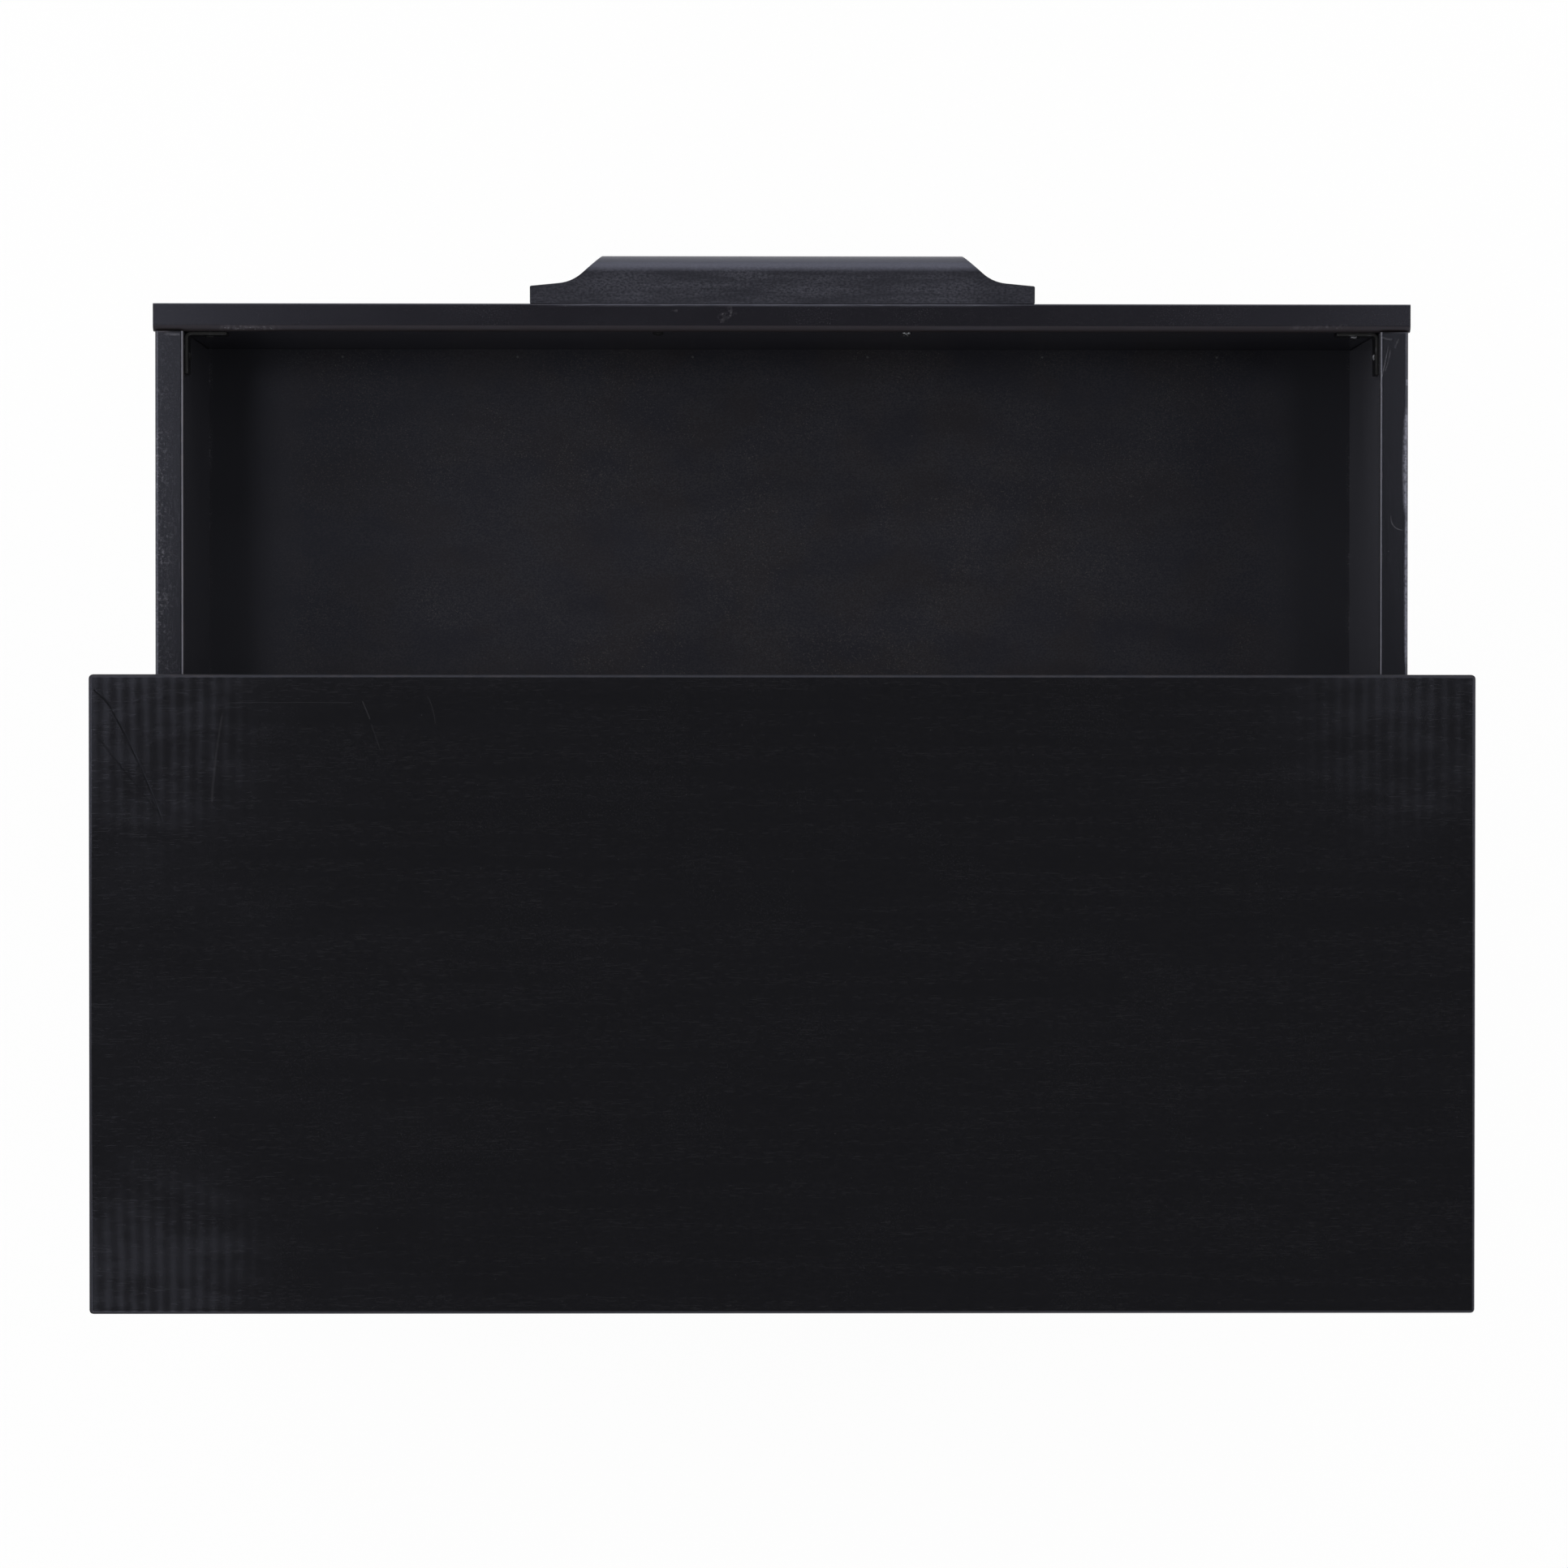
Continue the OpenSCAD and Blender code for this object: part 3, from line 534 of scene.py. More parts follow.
materials = {
    "top": paintedMahogany("paintedMahoganyTop", "X", markTop, roughness=0.12, wear=0.15, edgeRoughness=0.4),
    "X": paintedMahogany("paintedMahoganyAlong", "X"),
    # Drawer sides: the pale colour along their inner upper edges is a painted highlight
    "Y": paintedMahogany("paintedMahoganyDeep", "Y", markSides, dust=0.3, roughness=0.25, colour="#111113",
                         mottle=0.3, rubColour="#202023", rubLength=1.4 * mm, rubWidth=1.0 * mm,
                         rubRange=(0.35, 0.7), wear=0.3, stripColour="#7f7d82", stripRoughness=-0.08),
    "Z": paintedMahogany("paintedMahoganyUpright", "Z"),
    "front": paintedMahogany("paintedMahoganyFront", "X", markFront, dust=0.25, roughness=0.24,
                             colour="#161519", grainColour="#17161a", poreDepth=0.003 * mm, wear=0.1,
                             stripColour="#17100d", stripRoughness=0.4),
    "floor": paintedMahogany("paintedPlywood", "X", markFloor, dust=0.55, roughness=0.38,
                             patches=("#0f0e12", "#15110f"), mottle=0.9, rubColour="#222122",
                             rubLength=1.2 * mm, rubWidth=1.0 * mm, rubRange=(0.38, 0.7),
                             dustColour="#55524f", cloudRange=(0.42, 0.62, 0.15, 1.0),
                             streakLength=50 * mm, streakWidth=20 * mm),
    # The pull: its rounded upper edge has a painted sheen
    "pull": paintedMahogany("paintedMahoganyPull", "X", markPull, dust=0.15, roughness=0.4, wear=0.0,
                            colour="#0f0f12", mottle=0.85, rubColour="#333339", rubLength=1.8 * mm,
                            rubWidth=1.1 * mm, rubRange=(0.3, 0.75), rubRoughness=0.06, handled=0.95,
                            streakWidth=5 * mm, streakLength=40 * mm),
    "bare": bareHardwood(),
    "cane": rattan("wovenRattanCane", "#d9b97e", "#b98f52", 0.5 * mm),
    "spline": rattan("rattanSpline", "#c69c5f", "#9a7240", 0.8 * mm),
    "enamel": blackEnamel(),
    "zinc": zincPlate(),
    "nylon": mouldedNylon(),
}
print("materials made:", len(materials))


# Wooden boards: the solids' own meshes with their long edges rounded over

boards = {
    "radius": 0.9 * mm,
    "pullRadius": 0.7 * mm,
    "segments": 3,
    "sharpAngle": 40,         # degrees; edges flatter than this stay as they are
    "shortest": 9 * mm,       # and so do shorter ones
    "weld": 0.001 * mm,
    "flatAngle": 0.4,         # degrees between faces that are taken as one
    "flatNormal": 0.995,      # faces that look less straight along an axis are part of a curve
    "inwardNormal": 0.99,     # and faces that look this straight into the drawer are its inner ones
    "edgeDepth": 4.5 * mm,    # how far down an upper edge goes
    # how far down the pull's painted sheen reaches
    "handledDepth": 10 * mm,
    "inward": {"_front": (0, 1), "_back": (0, -1), "_left": (1, 0), "_right": (-1, 0)},
    # Painted light: how far each inner face is lightened, more on the faces that get more light
    "paintedInsideLight": {"_front": 0.13, "_back": 0.15, "_side_left": 0.84, "_side_right": 0.37},
    # Inner upper edges: from and to how steep a face is, and how strongly it is marked; on the sides a
    # painted highlight line, stronger on the side that catches more light
    "innerEdge": {"_front": (0.15, 0.99, 1.0), "_side_left": (0.55, 0.8, 1.0),
                  "_side_right": (0.45, 0.87, 0.6)},
}


def byEnding(table, node, other):  # what a table says for how a node's name ends
    return next((value for end, value in table.items() if node.endswith(end)), other)


def welded(mesh):  # a bmesh of a mesh, its doubled points joined
    work = bmesh.new()
    work.from_mesh(mesh)
    bmesh.ops.remove_doubles(work, verts=work.verts, dist=boards["weld"])
    return work


def softened(node, material, radius, wearCurves=True, shortest=boards["shortest"]):
    work = welded(frame["nodes"][node].data)
    flatAngle, sharpAngle = (math.radians(boards[kind]) for kind in ("flatAngle", "sharpAngle"))
    bmesh.ops.dissolve_limit(work, angle_limit=flatAngle, verts=work.verts, edges=work.edges)
    sharp = [e for e in work.edges if len(e.link_faces) == 2 and e.is_convex and e.calc_length() > shortest
             and e.calc_face_angle() > sharpAngle]
    wearAndSheenLayer, innerLayer, insideLayer = (work.loops.layers.float.new(name)
                                          for name in ("edgeWearAndSheen", "innerEdge", "paintedInsideLight"))
    low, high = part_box(node)
    ofDrawer = node.startswith("drawer")
    inward = Vector((*byEnding(boards["inward"], node, (0, 0)), 0))
    # painted light for the board's inner face
    shade = byEnding(boards["paintedInsideLight"], node, 0) if ofDrawer else 0
    flat, steep, mark = byEnding(boards["innerEdge"], node, (1, 0, 0)) if ofDrawer else (1, 0, 0)

    def wear(faces):
        for loop in (loop for face in faces for loop in face.loops):
            loop[wearAndSheenLayer] = 1

    if wearCurves:
        wear(face for face in work.faces if max(abs(c) for c in face.normal) < boards["flatNormal"])
    wear(bmesh.ops.bevel(work, geom=sharp, offset=radius, offset_type="OFFSET", segments=boards["segments"],
                         profile=0.5, affect="EDGES", clamp_overlap=False)["faces"])
    for face in work.faces:
        face.smooth = True
        turned = face.normal.dot(inward)
        onTop = face.calc_center_median().z > high[2] - boards["edgeDepth"]
        for loop in face.loops:
            loop[insideLayer] = shade * (turned > boards["inwardNormal"])
            loop[innerLayer] = mark * (onTop and flat < turned < steep)
    if node.endswith("_pull"):  # painted sheen, strongest where its upper edge turns to the front
        reach = boards["handledDepth"]
        for loop in (loop for face in work.faces for loop in face.loops):
            turned = max(0.0, 1 - (loop.vert.co.y - low[1]) / reach)
            loop[wearAndSheenLayer] = turned ** 0.5 * (loop.vert.co.z > high[2] - reach - 0.1 * mm)
    mesh = meshFrom(work, node + "Eased")
    mesh.set_sharp_from_angle(angle=sharpAngle)
    piece = placed(mesh, node + "Eased", material, node)
    piece.modifiers.new("evenNormals", "WEIGHTED_NORMAL").keep_sharp = True


def grainOf(node):
    if node == "top_panel":
        return "top"
    if node.startswith(("leg_", "side_panel")):
        return "Z"
    if node.endswith("_bottom"):
        return "floor"
    if node.startswith("drawer") and node.endswith("_front"):
        return "front"
    if node.endswith("_pull"):
        return "pull"
    return "Y" if "side" in node else "X"


for node, slot in slotOf.items():
    if slot == "black_wood":
        isPull = node.endswith("_pull")
        softened(node, materials[grainOf(node)], boards["pullRadius" if isPull else "radius"], not isPull)
    elif slot == "bare_wood":
        softened(node, materials["bare"], boards["radius"])
print("boards softened")


# Geometry Nodes trees

def newTree(name, inputs):
    tree = bpy.data.node_groups.new(name, "GeometryNodeTree")
    tree.interface.new_socket("geometry", in_out="INPUT", socket_type="NodeSocketGeometry")
    for label, kind in inputs.items():
        tree.interface.new_socket(label, in_out="INPUT", socket_type="NodeSocket" + kind)
    tree.interface.new_socket("geometry", in_out="OUTPUT", socket_type="NodeSocketGeometry")
    return tree, addNode(tree, "NodeGroupInput").outputs


def closeTree(tree, geometry, material):
    whole = outcome(tree, "GeometryNodeRealizeInstances", {0: geometry})
    dressed = outcome(tree, "GeometryNodeSetMaterial", {0: whole, "Material": material})
    addNode(tree, "NodeGroupOutput", {0: dressed})


def evaluated(item):  # a plain mesh of what an object's modifiers make
    graph = bpy.context.evaluated_depsgraph_get()
    return bpy.data.meshes.new_from_object(item.evaluated_get(graph), depsgraph=graph)


def bakedMesh(tree, base, values):  # the tree run on a base mesh, as a plain mesh
    carrier = linked("carrier", base)
    modifier = carrier.modifiers.new("build", "NODES")
    modifier.node_group = tree
    sockets = {item.name: item.identifier for item in tree.interface.items_tree if item.in_out == "INPUT"}
    for label, value in values.items():
        modifier[sockets[label]] = value
    mesh = evaluated(carrier)
    bpy.data.objects.remove(carrier)
    return mesh


# Woven cane: pairs of upright and level strands with two sets of slanting ones, six ways in all

weave = {  # each is an input of the tree
    "pitch": 12.7 * mm,       # half-inch mesh, the common one
    "pairGap": 1.7 * mm,      # half the distance between the two strands of a pair
    "strandWidth": 2.5 * mm,
    "strandDepth": 0.42 * mm,
    "slantWidth": 2.7 * mm,
    "pairLift": 0.24 * mm,    # how far a strand rises and dips where it crosses others
    "slantLift": 0.72 * mm,
    "stepsPerPitch": 4.0,
}
caneMargin = 0.5 * mm


def strandRows(tree, group, length, reach, offset, angle):  # level lines, laid out along X or Y
    pitch = group["pitch"]
    count = calc(tree, "CEIL", calc(tree, "DIVIDE", reach, pitch))
    steps = calc(tree, "CEIL", product(tree, calc(tree, "DIVIDE", length, pitch), group["stepsPerPitch"]))
    half = product(tree, length, 0.5)
    line = outcome(tree, "GeometryNodeCurvePrimitiveLine", {
        "Start": vector(tree, product(tree, half, -1.0)), "End": vector(tree, half)})
    fine = outcome(tree, "GeometryNodeResampleCurve", {
        "Curve": line, "Count": total(tree, steps, 1.0)})
    straight = abs(math.sin(2 * angle)) < 0.1
    across = (-math.sin(angle), math.cos(angle)) if straight else (1.0, 0.0)
    first = total(tree, product(tree, count, pitch, -0.5), offset)
    begin, step = (vector(tree, *(product(tree, size, part) for part in across)) for size in (first, pitch))
    points = outcome(tree, "GeometryNodeMeshLine", {
        "Count": total(tree, count, 1.0), "Start Location": begin, "Offset": step})
    copies = outcome(tree, "GeometryNodeInstanceOnPoints", {
        "Points": points, "Instance": fine, "Rotation": (0, 0, angle)})
    return outcome(tree, "GeometryNodeRealizeInstances", {0: copies})


def stored(tree, curves, name, value, domain):
    return outcome(tree, "GeometryNodeStoreNamedAttribute", {0: curves, "Name": name, "Value": value},
                   data_type="FLOAT", domain=domain)


def weaveTree():
    inputs = dict.fromkeys(["width", "height", *weave], "Float") | {"material": "Material"}
    tree, group = newTree("caneWeave", inputs)
    width, height, pitch = group["width"], group["height"], group["pitch"]
    at = partsOf(tree, outcome(tree, "GeometryNodeInputPosition"))
    column, row = (calc(tree, "DIVIDE", at[k], pitch) for k in (0, 1))

    def swing(value, lift):  # +lift on even crossings, -lift on odd ones
        return product(tree, calc(tree, "COSINE", product(tree, value, math.pi)), lift)

    def negative(value):
        return product(tree, value, -1.0)

    def pastHalf(value, size):
        return calc(tree, "GREATER_THAN", calc(tree, "ABSOLUTE", value), product(tree, size, 0.5))

    upright = swing(total(tree, row, calc(tree, "ROUND", column)), group["pairLift"])
    level = swing(total(tree, column, calc(tree, "ROUND", row)), negative(group["pairLift"]))
    diagonal = product(tree, total(tree, height, pitch), math.sqrt(2))
    twoPitches = product(tree, pitch, 2.0)
    pitches = calc(tree, "CEIL", calc(tree, "DIVIDE", total(tree, width, height), twoPitches))
    evenReach = product(tree, pitches, twoPitches)
    families = []  # strand length, how far the rows reach, offset, direction, height and width of a strand
    for gap in (group["pairGap"], negative(group["pairGap"])):
        families.append((height, width, gap, math.pi / 2, upright, group["strandWidth"]))
        families.append((width, height, gap, 0.0, level, group["strandWidth"]))
    for side, lift in ((1, group["slantLift"]), (-1, negative(group["slantLift"]))):
        turn, lift = side * math.pi / 4, swing(column, lift)
        families.append((diagonal, evenReach, 0.0, turn, lift, group["slantWidth"]))
    outside = calc(tree, "MAXIMUM", pastHalf(at[0], width), pastHalf(at[1], height))
    join = addNode(tree, "GeometryNodeJoinGeometry")
    firstSeed = 11
    for seed, (length, reach, gap, angle, lift, strandWidth) in enumerate(families, firstSeed):
        curves = strandRows(tree, group, length, reach, gap, angle)
        kept = outcome(tree, "GeometryNodeDeleteGeometry", {0: curves, "Selection": outside}, domain="POINT")
        curves = outcome(tree, "GeometryNodeSetPosition", {
            "Geometry": kept, "Offset": vector(tree, z=lift)})
        curves = outcome(tree, "GeometryNodeSetCurveNormal", {0: curves}, mode="Z_UP")
        ownTone = addNode(tree, "FunctionNodeRandomValue", {"Seed": seed}, data_type="FLOAT").outputs[1]
        curves = stored(tree, curves, "strandTone", ownTone, "CURVE")
        along = addNode(tree, "GeometryNodeSplineParameter").outputs["Length"]
        curves = stored(tree, curves, "strandLength", along, "POINT")
        ring = outcome(tree, "GeometryNodeCurvePrimitiveCircle", {"Resolution": 6, "Radius": 0.5})
        size = vector(tree, strandWidth, group["strandDepth"], 1.0)
        flat = outcome(tree, "GeometryNodeTransform", {"Geometry": ring, "Scale": size})
        strands = outcome(tree, "GeometryNodeCurveToMesh", {
            "Curve": curves, "Profile Curve": flat, "Fill Caps": True})
        tree.links.new(strands, join.inputs[0])
    upended = outcome(tree, "GeometryNodeTransform", {
        "Geometry": join.outputs[0], "Rotation": (math.pi / 2, 0, 0)})
    closeTree(tree, outcome(tree, "GeometryNodeSetShadeSmooth", {0: upended}), group["material"])
    return tree


def makeCane():
    low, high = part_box("drawer_1_cane")
    size = {"width": high[0] - low[0] - 2 * caneMargin, "height": high[2] - low[2] - 2 * caneMargin}
    values = weave | size | {"material": materials["cane"]}
    woven = bakedMesh(weaveTree(), bpy.data.meshes.new("blank"), values)
    for drawer in drawers:
        node = drawer + "_cane"
        low, high = (Vector(v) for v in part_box(node))
        mesh = woven.copy()
        mesh.transform(Matrix.Translation((low + high) / 2))
        placed(mesh, node + "Weave", materials["cane"], node)
    print("cane woven:", len(woven.polygons), "faces a panel")


makeCane()


# Spline: a reed pressed in round the cane, mitred at its corners

spline = {"crown": 1.1 * mm, "profileSteps": 8, "sideSteps": 60, "width": 5 * mm, "sharpAngle": 50}


def makeSpline(node):
    low, high = (Vector(v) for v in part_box(node))
    width, crown, steps = spline["width"], spline["crown"], spline["profileSteps"]
    profile = [(0, high.y), (0, low.y + crown)]  # from the outer edge over the rounded face to the inner edge
    for k in range(1, steps):
        turn = math.pi * k / steps
        profile.append((width * (1 - math.cos(turn)) / 2, low.y + crown * (1 - math.sin(turn))))
    profile += [(width, low.y + crown), (width, high.y)]
    work = bmesh.new()
    toneLayer, lengthLayer = (work.verts.layers.float.new(name) for name in ("strandTone", "strandLength"))
    rings = []
    for inset, y in profile:
        corners = [(low.x + inset, low.z + inset), (high.x - inset, low.z + inset),
                   (high.x - inset, high.z - inset), (low.x + inset, high.z - inset)]
        ring = []
        for k in range(4):
            a, b = Vector(corners[k]), Vector(corners[(k + 1) % 4])
            for step in range(spline["sideSteps"]):
                p = a.lerp(b, step / spline["sideSteps"])
                vert = work.verts.new((p.x, y, p.y))
                vert[toneLayer] = 0.2 + 0.2 * k
                vert[lengthLayer] = (p - a).length
                ring.append(vert)
        rings.append(ring)
    for a, b in zip(rings, rings[1:] + rings[:1]):
        for k in range(len(a)):
            work.faces.new((a[k - 1], a[k], b[k], b[k - 1])).smooth = True
    bmesh.ops.recalc_face_normals(work, faces=work.faces)
    mesh = meshFrom(work, node + "Reed")
    mesh.set_sharp_from_angle(angle=math.radians(spline["sharpAngle"]))
    placed(mesh, node + "Reed", materials["spline"], node)


for drawer in drawers:
    makeSpline(drawer + "_spline")
print("splines laid")


# Screws: crossed recesses and a turned profile, copied by Geometry Nodes to where the solids stand

screws = {
    "headRadius": 0.9,     # in shank diameters, as in the solids
    "headHeight": 0.5,
    "recessDepth": 0.75,   # in head heights
    "slotWidth": 0.28,     # in head diameters
    "slotSpan": 0.62,
    "turns": 28,
    "domeSteps": 6,
    "lie": 0.7,            # radians from one screw's slots to the next one's
    "sharpAngle": 35,
}


def turnedMesh(name, profile, turns):  # a closed solid turned round Z
    work = bmesh.new()
    rings = []
    for r, z in profile:
        angles = [math.tau * k / turns for k in range(turns)]
        if r == 0:
            rings.append([work.verts.new((0, 0, z))] * turns)
        else:
            rings.append([work.verts.new((r * math.cos(turn), r * math.sin(turn), z)) for turn in angles])
    for a, b in zip(rings, rings[1:]):
        for k in range(turns):
            corners = list(dict.fromkeys((a[k - 1], a[k], b[k], b[k - 1])))
            work.faces.new(corners).smooth = True
    bmesh.ops.recalc_face_normals(work, faces=work.faces)
    return meshFrom(work, name)


def crossCutter(r, top, depth):  # two crossed bars that cut the recess
    work = bmesh.new()
    size = Matrix.Diagonal((2 * r * screws["slotSpan"], 2 * r * screws["slotWidth"], 2 * depth, 1))
    for turn in (0, math.pi / 2):
        lie = Matrix.Translation((0, 0, top)) @ Matrix.Rotation(turn, 4, "Z")
        bmesh.ops.create_cube(work, size=1, matrix=lie @ size)
    return meshFrom(work, "cutter")


def screwMesh(diameter, length, sunk):  # seat at 0, point at +length
    headR, headH = (screws[kind] * diameter for kind in ("headRadius", "headHeight"))
    steps = screws["domeSteps"]
    if sunk:
        head = [(0, 0), (headR * 0.94, 0), (headR, 0.06 * diameter), (diameter / 2, headH)]
    else:
        head = [(0, -headH)]
        for k in range(1, steps + 1):
            turn = math.pi / 2 * k / steps
            head.append((headR * math.sin(turn) ** 0.8, -headH * (0.25 + 0.75 * math.cos(turn))))
        head += [(headR, 0), (diameter / 2, 0)]
    profile = head + [(diameter / 2, length - diameter), (diameter / 8, length), (0, length)]
    body = linked("screw", turnedMesh("screw", profile, screws["turns"]))
    cutter = linked("cutter", crossCutter(headR, 0 if sunk else -headH, headH * screws["recessDepth"]))
    cut = body.modifiers.new("recess", "BOOLEAN")
    cut.object, cut.operation, cut.solver = cutter, "DIFFERENCE", "EXACT"
    cut.use_self = True
    mesh = evaluated(body)
    for item in (body, cutter):
        bpy.data.objects.remove(item)
    mesh.set_sharp_from_angle(angle=math.radians(screws["sharpAngle"]))
    return mesh


def copyTree():
    tree, group = newTree("copiesOnPoints", {"part": "Object", "material": "Material"})
    part = addNode(tree, "GeometryNodeObjectInfo", {"Object": group["part"]}).outputs["Geometry"]
    turn = outcome(tree, "GeometryNodeInputNamedAttribute", {"Name": "turn"}, data_type="FLOAT_VECTOR")
    spread = outcome(tree, "GeometryNodeInstanceOnPoints", {
        "Points": group["geometry"], "Instance": part, "Rotation": turn})
    closeTree(tree, spread, group["material"])
    return tree


copies = copyTree()


def copied(part, places, material):  # places are (point, turn, painted) rows
    points, turns, coats = zip(*places)
    base = bpy.data.meshes.new("places")
    base.from_pydata([tuple(point) for point in points], [], [])
    turnRows = base.attributes.new("turn", "FLOAT_VECTOR", "POINT").data
    turnRows.foreach_set("vector", [angle for turn in turns for angle in turn])
    base.attributes.new("painted", "FLOAT", "POINT").data.foreach_set("value", coats)
    holder = linked("part", part)
    mesh = bakedMesh(copies, base, {"part": holder, "material": material})
    bpy.data.objects.remove(holder)
    return mesh


def looseParts(mesh):  # each separate solid's points
    work = welded(mesh)
    left, parts = set(work.verts), []
    while left:
        stack, points = [left.pop()], []
        while stack:
            vert = stack.pop()
            points.append(vert.co.copy())
            for edge in vert.link_edges:
                other = edge.other_vert(vert)
                if other in left:
                    left.remove(other)
                    stack.append(other)
        parts.append(points)
    work.free()
    return parts


def readScrew(points):  # where a solid screw's seat is, which way it points, and its sizes
    low, high = (Vector([end(p[k] for p in points) for k in range(3)]) for end in (min, max))
    size, middle = high - low, (low + high) / 2
    axis = max(range(3), key=lambda k: size[k])
    others = [k for k in range(3) if k != axis]

    def widest(points):
        return max(math.dist([p[k] for k in others], [middle[k] for k in others]) for p in points)

    headR = widest(points)
    headEnd = [p for p in points if abs(widest([p]) - headR) < 0.05 * mm]
    side = 1 if sum(p[axis] for p in headEnd) / len(headEnd) < middle[axis] else -1
    diameter = headR / screws["headRadius"]
    near = low[axis] if side > 0 else high[axis]
    farRim = max((p[axis] - near) * side for p in headEnd)
    sunk = farRim < 0.1 * diameter
    seat = middle.copy()
    seat[axis] = near if sunk else near + side * farRim
    way = Vector([0, 0, 0])
    way[axis] = side
    length = size[axis] - (0 if sunk else farRim)
    return seat, way, round(diameter / mm, 2) * mm, round(length / mm, 1) * mm, sunk


def makeScrews(node):
    kinds = {}
    for k, points in enumerate(looseParts(frame["nodes"][node].data)):
        seat, way, diameter, length, sunk = readScrew(points)
        lie = way.to_track_quat("Z", "Y").to_matrix() @ Matrix.Rotation(screws["lie"] * k, 3, "Z")
        # The brush reached the heads at one end of a drawer
        painted = 1.0 if node.startswith("drawer") and seat.x > 0 else 0.0
        kinds.setdefault((diameter, length, sunk), []).append((seat, lie.to_euler(), painted))
    joined = bmesh.new()
    for (diameter, length, sunk), places in kinds.items():
        joined.from_mesh(copied(screwMesh(diameter, length, sunk), places, materials["zinc"]))
    mesh = meshFrom(joined, node + "Steel")
    mesh.set_sharp_from_angle(angle=math.radians(screws["sharpAngle"]))
    placed(mesh, node + "Steel", materials["zinc"], node)
    return len(kinds)


for node, slot in slotOf.items():
    if slot == "screw_steel":
        print(node, "kinds of screw:", makeScrews(node))


# Corner brackets and glides: the solids' own meshes with their edges rubbed

metalwork = {"bracketRadius": 0.4 * mm, "bracketShortest": 0.1 * mm, "glideRadius": 0.3 * mm}

for drawer in drawers:
    softened(drawer + "_brackets", materials["enamel"], metalwork["bracketRadius"], False,
             metalwork["bracketShortest"])
softened("leg_glides", materials["nylon"], metalwork["glideRadius"], False)


# Brads along the front of each drawer bottom

brads = {"spacing": 109 * mm, "fromFront": 4.5 * mm, "headR": 0.8 * mm, "headH": 0.5 * mm, "sink": 0.12 * mm,
         "painted": 0.3, "turns": 12}  # painted is how well the paint covers them


def makeBrads(drawer):
    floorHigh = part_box(drawer + "_bottom")[1]
    r, h = brads["headR"], brads["headH"]
    profile = [(0, 0), (r * 0.4, h * 0.1), (r * 0.85, 0), (r, -h / 3), (r, -h), (0, -h)]
    half = int((floorHigh[0] - brads["fromFront"]) / brads["spacing"])
    y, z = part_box(drawer + "_front")[1][1] + brads["fromFront"], floorHigh[2] + brads["sink"]
    places = [((brads["spacing"] * (k + 0.5), y, z), (0, 0, 0), brads["painted"]) for k in range(-half, half)]
    mesh = copied(turnedMesh("brad", profile, brads["turns"]), places, materials["zinc"])
    placed(mesh, drawer + "_brads", materials["zinc"], body=drawer)


for drawer in drawers:
    makeBrads(drawer)
print("metalwork done")


# Studio: white floor and curved wall, soft lamps to the sides, dark overhead so that the flat top stays black

studio = {
    "floorRadius": 7.0,
    "wallHeight": 3.4,
    "coveRadius": 1.2,
    "coveSteps": 8,
    "turns": 96,
    "white": "#f8f8f7",
    "cameraShare": 0.96,  # how much of the backdrop is plain white to the camera; the rest keeps the shadow
    "worldStrength": 0.05,
    "ringStrength": 0.5,  # a ring of soft light round a dark zenith, by the sine of its height
    "ringLow": (0.25, 0.45),
    "ringHigh": (0.93, 0.82),
    "aim": (0, 0, 0.6),
    "lamps": [  # name, place, size, watts; the flat top mirrors the dark gap between them
        ("leftSoftbox", (2.6, -0.5, 2.9), (1.6, 1.6), 35),
        ("rightSoftbox", (-2.6, -0.4, 2.9), (1.6, 1.6), 27),
        ("frontSoftbox", (0.3, -2.7, 2.9), (3.2, 2.0), 41),
        ("rearSoftbox", (-0.4, 3.0, 2.8), (2.4, 1.6), 18),
        ("frontLeftGlow", (1.10, -0.46, 3.76), (0.6, 0.6), 4),
        ("rearLeftGlow", (1.10, 1.06, 3.76), (0.6, 0.6), 4),
        ("frontRightGlow", (-1.22, -0.48, 3.76), (0.6, 0.6), 3),
    ],
}


def backdropMaterial():
    material, tree, shader = newMaterial("paintedBackdrop")
    feed(tree, shader, {"Base Color": linear(studio["white"]), "Roughness": 0.9, "Specular IOR Level": 0})
    path = addNode(tree, "ShaderNodeLightPath").outputs
    mirrored = calc(tree, "MAXIMUM", path["Is Glossy Ray"], path["Is Transmission Ray"])
    share = product(tree, calc(tree, "MAXIMUM", path["Is Camera Ray"], mirrored), studio["cameraShare"])
    glow = addNode(tree, "ShaderNodeEmission", {"Color": (1, 1, 1, 1), "Strength": 1.0})
    mixed = outcome(tree, "ShaderNodeMixShader", {0: share, 1: shader.outputs[0], 2: glow.outputs[0]})
    feed(tree, tree.nodes["Material Output"], {"Surface": mixed})
    return material


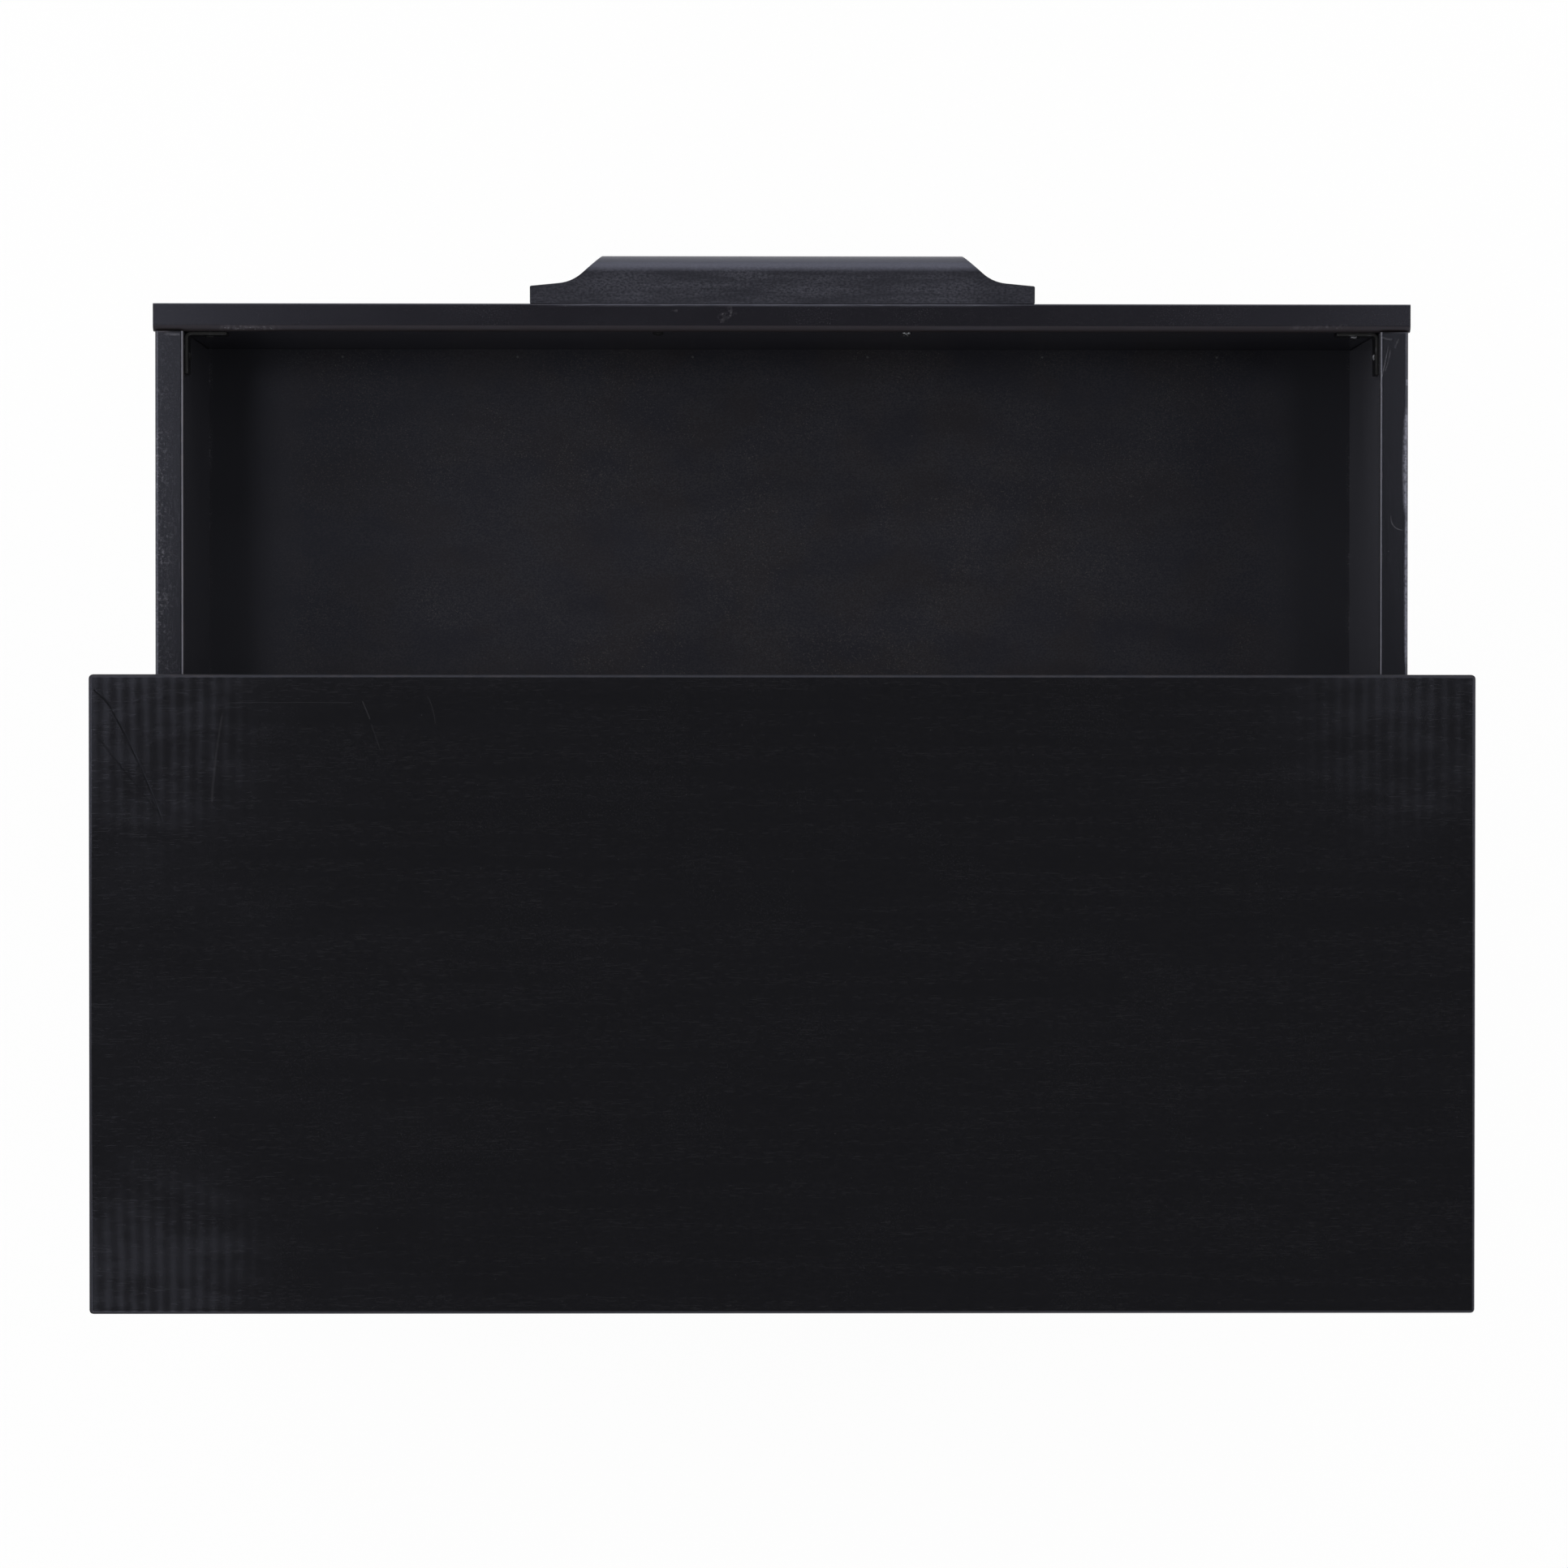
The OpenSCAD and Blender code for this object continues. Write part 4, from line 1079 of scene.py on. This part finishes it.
def makeBackdrop():
    radius, cove, steps = studio["floorRadius"], studio["coveRadius"], studio["coveSteps"]
    profile = [(0, 0), (radius - cove, 0)]
    for k in range(1, steps + 1):
        turn = math.pi / 2 * k / steps
        profile.append((radius - cove + cove * math.sin(turn), cove * (1 - math.cos(turn))))
    profile.append((radius, studio["wallHeight"]))
    backdrop = linked("backdrop", turnedMesh("backdrop", profile, studio["turns"]))
    backdrop.data.flip_normals()
    backdrop.data.materials.append(backdropMaterial())


def lightStudio():
    for name, place, size, watts in studio["lamps"]:
        lamp = bpy.data.lights.new(name, "AREA")
        lamp.shape = "RECTANGLE"
        lamp.size, lamp.size_y = size
        lamp.energy = watts
        holder = linked(name, lamp)
        holder.location = place
        holder.rotation_euler = (Vector(studio["aim"]) - Vector(place)).to_track_quat("-Z", "Y").to_euler()
    world = bpy.data.worlds.new("studioAir")
    bpy.context.scene.world = world
    world.use_nodes = True
    tree = world.node_tree
    up = partsOf(tree, addNode(tree, "ShaderNodeTexCoord").outputs["Generated"])[2]
    ring = product(tree, ramp(tree, up, *studio["ringLow"]), ramp(tree, up, *studio["ringHigh"]))
    strength = total(tree, product(tree, ring, studio["ringStrength"]), studio["worldStrength"])
    strength = calc(tree, "MAXIMUM", strength, addNode(tree, "ShaderNodeLightPath").outputs["Is Camera Ray"])
    feed(tree, tree.nodes["Background"], {"Color": (1, 1, 1, 1), "Strength": strength})


camera = {"place": (0.0300, -0.0361, 3.7620), "tilt": (0.716, 0.583, 0.021),  # tilt in degrees
          "lens": 117.65, "sensor": 36, "farthest": 100}


def makeCamera():
    data = bpy.data.cameras.new("camera")
    data.lens = camera["lens"]
    data.sensor_width = camera["sensor"]
    data.clip_end = camera["farthest"]
    holder = linked("camera", data)
    holder.location = camera["place"]
    tilt = Euler([math.radians(a) for a in camera["tilt"]]).to_matrix()
    holder.rotation_euler = (tilt @ Matrix.Rotation(math.pi, 3, "Z")).to_euler()  # front at the picture's top
    bpy.context.scene.camera = holder


makeBackdrop()
lightStudio()
makeCamera()
bpy.context.scene.view_settings.view_transform = "Standard"
print("studio ready")
